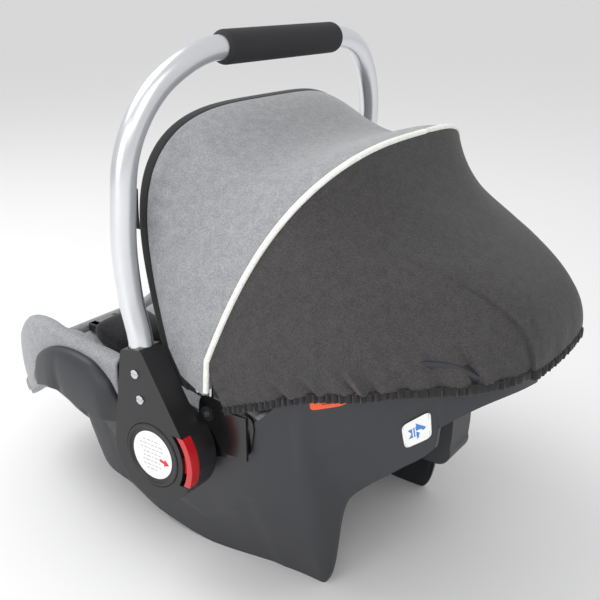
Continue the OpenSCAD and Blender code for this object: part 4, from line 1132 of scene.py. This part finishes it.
@dataclass
class CarryHandle:
    """The swinging handle: tube, grip, arms, hub caps and release buttons."""

    shell: SeatShell
    leg_x: float = 209
    bar_z: float = 534
    tube_d: float = 23.5
    bend_r: float = 112
    grip_len: float = 193
    grip_d: float = 32.5
    socket_z: float = 268
    hub_face_x: float = 221

    def tube_y(self, z: Array) -> Array:
        """The tube's lean along its height, in line with the arm below the socket."""
        sz, bz = self.socket_z, self.bar_z
        table = [(sz, 0), (sz + 45, -8), (362, -11), (bz - 120, -6), (bz - 70, 0), (bz - 30, 7), (bz, 15)]
        slope = self.shell.pivot_y / (sz - self.shell.pivot_z)
        upper = hermite(table, z) + np.maximum(0, sz + 45 - z) * 0.02
        return np.where(z > sz, upper, (sz - z) * slope)

    def path(self) -> Array:
        """Centre line from one arm over the bar to the other: leg, a quarter circle, bar and mirrored."""
        z = np.concatenate([[self.shell.pivot_z + 62],
                            np.linspace(self.socket_z - 8, self.bar_z - self.bend_r, 40)])
        t = np.clip((z - self.socket_z) / 150, 0, 1)
        legs = np.stack([self.leg_x - 2 * (1 - t * t * (3 - 2 * t)), self.tube_y(z), z], -1)
        a = np.linspace(0, np.pi / 2, 26)[1:]
        zb = self.bar_z - self.bend_r * (1 - np.sin(a))
        bend = np.stack([self.leg_x - self.bend_r * (1 - np.cos(a)), self.tube_y(zb), zb], -1)
        bar = np.stack([np.linspace(self.leg_x - self.bend_r, 0, 9)[1:], np.full(8, float(self.tube_y(
            np.array(self.bar_z)))), np.full(8, self.bar_z)], -1)
        half = np.concatenate([legs, bend, bar])
        return np.concatenate([half, half[-2::-1] * np.array([-1, 1, 1])])

    def build(self, looks: Finishes) -> None:
        """Builds the handle's pieces."""
        path = self.path()
        r = self.tube_d / 2
        tube = loft_object("handle_bar", carried(path, oval(2 * r, 2 * r, 44), np.array([0, 1.0, 0])), 60)
        looks.dress(tube, "aluminium_tube", Body.HANDLE, "handle_tube")
        g, h, c = self.grip_d / 2, min(self.grip_len / 2, self.leg_x - self.bend_r - 1.5), 7.0
        a = np.linspace(0, np.pi / 2, 9)
        right = np.stack([g - c + c * np.cos(a), h - c + c * np.sin(a)], -1)
        flat = np.stack([np.full(30, g), np.linspace(-h + c, h - c, 30)], -1)[1:-1]
        profile = np.concatenate([[[r - 1, -h]], right[::-1] * [1, -1], flat, right, [[r - 1, h]]])
        centre = (float(self.tube_y(np.array(self.bar_z))), self.bar_z)
        grip = turned("grip_sleeve", profile, centre, 1.0, 64)
        looks.dress(grip, "foam_grip", Body.HANDLE, "handle_grip")
        hub = (self.shell.pivot_y, self.shell.pivot_z)
        f = self.hub_face_x
        cap = [(0, f - 2.6), (33.4, f - 2.6), (33.4, f + 0.2), (32.7, f + 0.9), (30.8, f + 1.1),
               (29.6, f + 0.6), (28.6, f - 0.5), (27.5, f - 0.7), (0, f - 0.7)]
        disc = [(0, f - 0.66), (25.4, f - 0.66), (25.4, f - 0.35), (24.9, f - 0.2), (0, f - 0.2)]
        for side in Side:
            looks.dress(softened(f"handle_arm_{side.tag}", 3.2, 4), "trim_plastic", Body.HANDLE,
                        f"handle_arm_{side.tag}")
            looks.dress(turned(f"hub_disc_{side.tag}", cap, hub, side.value), "trim_plastic", Body.HANDLE,
                        f"hub_cap_{side.tag}")
            looks.dress(turned(f"hub_sticker_{side.tag}", disc, hub, side.value), "label_white", Body.HANDLE,
                        f"hub_label_{side.tag}")
            looks.dress(self.sticker_lines(side), "print_grey", Body.HANDLE)
            looks.dress(self.sticker_arrow(side), "print_red", Body.HANDLE)
            button = f"release_button_{side.tag}"
            looks.dress(softened(button, 1.0), "red_plastic", button, button)
        looks.dress(softened("arm_screws", 0.35, 2), "steel", Body.HANDLE, "arm_screws")

    def flat_marks(self, name: str, shapes: Shapes, side: Side, lift: float) -> bpy.types.Object:
        """Polygons given as (y, z) from the hub's centre, printed on its sticker."""
        def place(shape: Array) -> Array:
            """The polygon's points on the sticker."""
            return np.stack([np.full(len(shape), side.value * (self.hub_face_x + lift)),
                             self.shell.pivot_y + shape[:, 0], self.shell.pivot_z + shape[:, 1]], -1)

        return printed(name, shapes, place, side)

    def sticker_lines(self, side: Side) -> bpy.types.Object:
        """Rows of plain dashes in place of print."""
        rows = []
        for z, half in ((15, 11), (10.5, 16), (6, 15), (1.5, 12), (-3, 12), (-7.5, 13), (-12, 12), (-16, 8)):
            start = -half
            for k, dash in enumerate((3.2, 5.0, 2.6, 4.2, 3.0, 5.2, 2.4)):
                if start + dash > half:
                    break
                rows.append([(start, z), (start + dash, z), (start + dash, z + 1.1), (start, z + 1.1)])
                start += dash + 1.3
        return self.flat_marks(f"sticker_lines_{side.tag}", rows, side, -0.15)

    def sticker_arrow(self, side: Side) -> bpy.types.Object:
        """A small red arrow that points at the release button."""
        arrow = [(10, -1.6), (16, -1.6), (16, -4.4), (22.4, 0), (16, 4.4), (16, 1.6), (10, 1.6)]
        tilt = math.radians(-12)
        c, s = math.cos(tilt), math.sin(tilt)
        turn = [(p * c - q * s, p * s + q * c) for p, q in arrow]
        return self.flat_marks(f"sticker_arrow_{side.tag}", [turn], side, -0.1)


# ---------------------------------------------------------------- canopy


@dataclass
class Canopy:
    """Two bows with their cloth: a light panel between them and a dark one back over the head end."""

    shell: SeatShell
    half_w: float = 189
    rear_reach: float = 273
    rear_angle: float = 66
    front_reach: float = 281
    front_angle: float = 104
    saddle: float = 24

    def bow(self, a: Array, reach: float, angle: float, p: float, belly: tuple[float, float, float],
            width: float | None = None) -> Array:
        """A bow: x = w sin^(2/p), reach cos^(2/p) in its plane, with a belly ahead of that plane."""
        w = self.half_w if width is None else width
        r = reach * np.abs(np.cos(a)) ** (2 / p)
        ahead = belly[0] * (1 - (r / reach) ** belly[1]) * np.minimum(1, r / 62) ** belly[2]
        t = math.radians(angle)
        return np.stack([w * power(np.sin(a), 2 / p), self.shell.canopy_y + r * math.cos(t) - ahead,
                         self.shell.canopy_z + r * math.sin(t)], -1)

    def rear(self, a: Array, out: float = 0) -> Array:
        """The rear bow, pushed outwards by out."""
        return self.bow(a, self.rear_reach + out, self.rear_angle, 3.3, (21, 5, 1), self.half_w + out * 0.6)

    def front(self, a: Array) -> Array:
        """The front edge."""
        return self.bow(a, self.front_reach, self.front_angle, 4.1, (32, 5.7, 0.5))

    @staticmethod
    def angles(limit: float, count: int) -> Array:
        """Angles from -limit to limit degrees, closer together towards the ends."""
        t = np.linspace(-1, 1, count)
        return np.radians(limit * np.sign(t) * (1 - (1 - np.abs(t)) ** 1.6))

    def hem(self, a: Array) -> Array:
        """The dark cloth's lower edge: round the shell's sides and bowed across the head end."""
        s = self.shell
        hem_y = s.head_y + 4
        share = np.abs(np.degrees(a)) / 90
        end_x = float(s.rim_x(np.array(s.head_y - 1))) + 2
        k = np.clip(share / 0.3, 0, 1)
        t = np.clip((share - 0.3) / 0.7, 0, 1)
        y_side = hem_y - 1 + (s.canopy_y + 5 - hem_y) * t**1.25
        out = hermite([(s.canopy_y, 6), (s.at_head(0.5), 7), (s.at_head(0.76), 14), (s.at_head(0.9), 9),
                       (s.head_y, 6)], y_side)
        x_side = np.minimum(self.half_w, np.maximum(end_x, s.rim_x(np.minimum(y_side, s.head_y - 1)) + out))
        across = share < 0.3
        y = np.where(across, hem_y + 3 * (1 - k**2), y_side)
        x = np.where(across, end_x * k, x_side) * np.sign(a)
        z = hermite([(s.canopy_y, s.canopy_z + 8), (s.at_head(0.28), 228), (s.at_head(0.5), 255),
                     (s.at_head(0.65), 266), (s.at_head(0.78), 276), (hem_y, 275)], y)
        return np.stack([x, y, z], -1)

    def light_grid(self, rows: int, columns: int) -> Array:
        """The light panel: straight from bow to bow, less a saddle of 16 v^2 (1 - v)^2 at the crown."""
        a = self.angles(89.2, rows)[:, None]
        v = np.linspace(0, 1, columns)[None, :]
        p, q = self.front(a[:, 0])[:, None], self.rear(a[:, 0])[:, None]
        away = unit(q - p)
        p, q = p + away * 2.2, q - away * 2.4
        grid = p + (q - p) * v[..., None]
        grid[..., 2] -= self.saddle * 16 * (v * (1 - v)) ** 2 * np.cos(a) ** 2
        return grid

    def light_folds(self, rows: int, columns: int) -> Array:
        """Soft pulls in the light panel, as a lift in millimetres: two long folds under the crown, slanting
        pulls low on the sides, and a fullness towards the rear bow, each a bell or a sine in its band."""
        a = np.degrees(self.angles(89.2, rows))[:, None]
        v = np.linspace(0, 1, columns)[None, :]
        b = np.abs(a)
        ends = smooth(v / 0.08) * smooth((1 - v) / 0.08)
        crown = 2.4 * bell(b - 12 * v, 26, 5) - 2.2 * bell(b - 14 * v, 36, 6) + 1.8 * bell(b - 10 * v, 45, 5)
        pulls = 2.2 * np.sin((b * 0.32 + v * 7.0)) * bell(b, 74, 12) * bell(v, 0.3, 0.35)
        soft = 1.6 * np.sin(b * 0.15 + 2.0 * np.sin(v * 3.1)) * bell(v, 0.6, 0.4)
        lines = 1.1 * np.sin(a * 0.9 + v * 11) * bell(v, 0.12, 0.16) * bell(b, 55, 26)
        return (crown * bell(v, 0.45, 0.5) + pulls + soft + lines) * ends

    def dark_grid(self, rows: int, columns: int) -> Array:
        """The dark panel: a cubic Bezier at each angle from rear bow to hem, kept outside the shell."""
        s = self.shell
        a = self.angles(86.5, rows)
        v = np.linspace(0, 1, columns)[None, :, None]
        p = self.rear(a) + np.array([0, 2.6, 0])
        h = self.hem(a)
        c = smooth((62 - np.abs(np.degrees(a))) / 42)[:, None]
        sg = np.sign(a)[:, None] * np.array([1.0, 0, 0])
        c1 = p + np.array([0, 24, -98.0]) * c + ((h - p) / 3 + sg * 4) * (1 - c)
        c2 = h + np.array([0, 10, 96.0]) * c + ((p - h) / 3 + sg * 10) * (1 - c)
        p, h, c1, c2 = (k[:, None] for k in (p, h, c1, c2))
        w = 1 - v
        grid = w**3 * p + 3 * w**2 * v * c1 + 3 * w * v**2 * c2 + v**3 * h
        y, z = grid[..., 1], grid[..., 2]
        low = smooth((s.rim_z(y) + 14 - z) / 12) * (y < s.head_y - 1)
        near = (s.rim_x(np.minimum(y, s.head_y - 1)) + 5) * low
        x = np.minimum(self.half_w, np.maximum(np.abs(grid[..., 0]), near))
        grid[..., 0] = x * np.sign(a)[:, None]
        return grid

    def dark_folds(self, rows: int, columns: int) -> Array:
        """Gathers of the dark panel: folds that spread up from the elastic hem along the sides and fade out,
        and the broad dip between the bow's side and the head end's corner."""
        b = np.abs(np.degrees(self.angles(86.5, rows)))[:, None]
        v = np.linspace(0, 1, columns)[None, :]
        low = smooth((v - 0.62) / 0.38)
        gather = (np.sin(b * 1.25 + 1.5 * np.sin(b * 0.21)) + 0.6 * np.sin(b * 2.1 + 1.0)) * 3.6
        band = smooth((b - 22) / 12) * smooth((80 - b) / 10)
        gather = gather * low**1.6 * band * (0.7 + 0.3 * np.sin(b * 0.37))
        head = 1.0 * np.sin(b * 1.9) * low**3 * smooth((24 - b) / 10)
        dip = -9.0 * bell(b, 38, 10) * bell(v, 0.74, 0.2)
        pull = 1.4 * np.sin(v * 9 + b * 0.12) * bell(v, 0.35, 0.3) * smooth(b / 20)
        return (gather + head + dip + pull) * smooth(v / 0.06)

    def strip(self, name: str, path: Array, outline: Array, across: Array) -> bpy.types.Object:
        """A tape or cord along a path."""
        return loft_object(name, carried(path, outline, across), 60)

    def build(self, looks: Finishes) -> None:
        """Builds the cloth, its edges and the tag."""
        s = self.shell
        inside = np.array([0, s.canopy_y + 20, s.canopy_z + 30.0])
        crown_rear, crown_front = self.rear(np.zeros(1))[0] * MM, self.front(np.zeros(1))[0] * MM
        rows, columns = 181, 61
        grid = self.light_grid(rows, columns)
        n = normals(grid)
        n *= np.sign(np.einsum("ijk,ijk->ij", n, grid - inside))[..., None]
        grid = grid + n * self.light_folds(rows, columns)[..., None]
        light = sheet_object("canopy_light_cloth", grid, 1.1, inside)
        looks.dress(light, "light_cloth", "", "canopy_front_panel")
        a = self.angles(89.7, 220)
        front = self.front(a)
        along = unit(self.rear(a) - front)
        skin = unit(np.cross(np.gradient(front, axis=0), along))
        o = oval(10.5, 2.4, 14, 0.6)
        rings = front[:, None] + along[:, None] * (o[None, :, :1] - 1.5) + skin[:, None] * o[None, :, 1:]
        binding = loft_object("front_edge_binding", rings, 60)
        looks.dress(binding, "black_webbing", Body.FRONT_BOW, "front_binding")
        piping = self.strip("rear_edge_piping", self.rear(self.angles(88.8, 220), 1.2), oval(6.0, 6.0, 18),
                            np.array([1.0, 0, 0.01]))
        looks.dress(piping, "white_piping", Body.REAR_BOW, "rear_piping")
        tuple(crown_rear)
        tuple(crown_front)
        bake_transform(light)
        self.declare(grid)

        grid = self.dark_grid(rows, columns)
        n = normals(grid)
        n *= np.sign(np.einsum("ijk,ijk->ij", n, grid - inside))[..., None]
        grid = grid + n * self.dark_folds(rows, columns)[..., None]
        dark = sheet_object("canopy_dark_cloth", grid, 1.1, inside)
        looks.dress(dark, "dark_cloth", "", "canopy_rear_panel", "head_cover")
        hem_end = self.hem(np.zeros(1))[0] * MM
        tuple(crown_rear)
        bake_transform(dark)
        a = self.angles(86.5, 520)
        hem = self.hem(a)
        run = run_along(hem)
        outward = unit(np.stack([-np.gradient(hem[:, 1]), np.gradient(hem[:, 0]), 0 * run], -1))
        outward *= np.sign((outward * (hem - inside)).sum(1, keepdims=True))
        wave = 1.5 * np.sin(run * 2 * np.pi / 6.5) + 0.7 * np.sin(run * 2 * np.pi / 4.1)
        ruffle = wave[:, None] * outward
        band = hem - np.array([0, 0, 3.4]) + ruffle * 0.8
        tape = self.strip("elastic_edge", band, oval(8.5, 3.0, 12, 0.7), np.array([0, 0.01, 1.0]))
        looks.dress(tape, "black_webbing", "", "elastic_hem")
        tuple(crown_rear)
        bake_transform(tape)
        self.declare(grid)
        self.tag(looks)

    def declare(self, grid: Array) -> None:
        """Measures a panel's area over its grid; nothing is done with the result."""
        u, v = np.diff(grid, axis=0)[:, :-1], np.diff(grid, axis=1)[:-1]
        area = np.linalg.norm(np.cross(u, v), axis=2).sum() * MM**2

    def tag(self, looks: Finishes) -> None:
        """The folded maker's tag on the front edge, left plain."""
        low, high = (np.array(c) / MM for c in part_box("canopy_tag"))
        z = np.linspace(low[2], high[2], 14)[:, None]
        y = np.linspace(low[1] - 1, high[1] + 1, 8)[None, :]
        x = low[0] + 0.6 + 0.5 * np.sin((z - low[2]) / 9) + 0.3 * np.cos(y / 3)
        grid = np.stack([x + 0 * y, y + 0 * z, z + 0 * y], -1)
        piece = sheet_object("edge_tag", grid, 0.8)
        looks.dress(piece, "black_webbing", Body.FRONT_BOW, "canopy_tag")


# ---------------------------------------------------------------- studio


@dataclass
class Studio:
    """Pale floor, soft light and the camera."""

    eye: tuple[float, float, float] = (0.719, 0.5495, 0.592)
    heading: float = 35.4
    pitch: float = 20.7
    focal: float = 50.7

    def floor(self) -> None:
        """A wide pale floor that isn't part of the object."""
        far, low = 30000.0, -0.3
        corners = np.array([[-far, -far, low], [far, -far, low], [far, far, low], [-far, far, low]])
        piece = as_object("floor", corners, [[0, 1, 2, 3]])
        r = Recipe("studio_floor")
        r.feed(Base_Color=linear(240, 240, 240), Roughness=0.7, Specular_IOR_Level=0.1)
        piece.data.materials.append(r.material)

    def lamp(self, name: str, place: tuple[float, float, float], power_: float, size: float) -> None:
        """A square softbox aimed at the seat."""
        light = bpy.data.lights.new(name, "AREA")
        light.energy = power_
        light.size = size
        holder = bpy.data.objects.new(name, light)
        bpy.context.scene.collection.objects.link(holder)
        holder.location = place
        aim = Vector((0, 0, 0.25)) - Vector(place)
        holder.rotation_euler = aim.to_track_quat("-Z", "Y").to_euler()

    def build(self) -> None:
        """Sets the floor, the lights, the sky and the camera."""
        scene = bpy.context.scene
        scene.view_settings.view_transform = "Standard"
        self.floor()
        world = bpy.data.worlds.new("studio")
        world.use_nodes = True
        sky = world.node_tree.nodes["Background"]
        sky.inputs[0].default_value = (1, 1, 1, 1)
        sky.inputs[1].default_value = 0.78
        scene.world = world
        self.lamp("key_softbox", (0.6, -1.2, 2.2), 26, 1.6)
        self.lamp("rear_softbox", (1.6, 1.4, 1.8), 12, 1.6)
        self.lamp("side_softbox", (2.4, -0.2, 0.9), 12, 1.2)
        a, t = math.radians(self.heading), math.radians(self.pitch)
        forward = Vector((-math.cos(a) * math.cos(t), -math.sin(a) * math.cos(t), -math.sin(t)))
        right = Vector((-math.sin(a), math.cos(a), 0))
        up = right.cross(forward)
        camera = bpy.data.cameras.new("camera")
        camera.lens = self.focal
        camera.sensor_width = 36
        camera.clip_start = 0.02
        holder = bpy.data.objects.new("camera", camera)
        scene.collection.objects.link(holder)
        matrix = Matrix((right, up, -forward)).transposed().to_4x4()
        matrix.translation = Vector(self.eye)
        holder.matrix_world = matrix
        scene.camera = holder


def dress_frame(looks: Finishes) -> None:
    """Gives every frame node its finish by its material slot; the replaced ones stay hidden."""
    slots = {row["node"]: row["material_slot"] for row in frame["record"]["subparts"]}
    for name, node in frame["nodes"].items():
        material = looks.table[slots[name]][0]
        if node.material_slots:
            for place in node.material_slots:
                place.material = material
        else:
            node.data.materials.append(material)


def main() -> None:
    """Builds every sub-assembly in order."""
    logging.basicConfig(level=logging.INFO, format="%(message)s")
    looks = Finishes()
    dress_frame(looks)
    shell = SeatShell()
    builders: list[tuple[str, Callable[[], None]]] = [
        ("shell", lambda: shell.build(looks)), ("foot cover", lambda: FootCover(shell).build(looks)),
        ("padding", lambda: Padding(shell).build(looks)), ("handle", lambda: CarryHandle(shell).build(looks)),
        ("canopy", lambda: Canopy(shell).build(looks)), ("studio", Studio().build)]
    for name, build in builders:
        build()
        log.info("%s built", name)


if __name__ == "__main__":
    main()
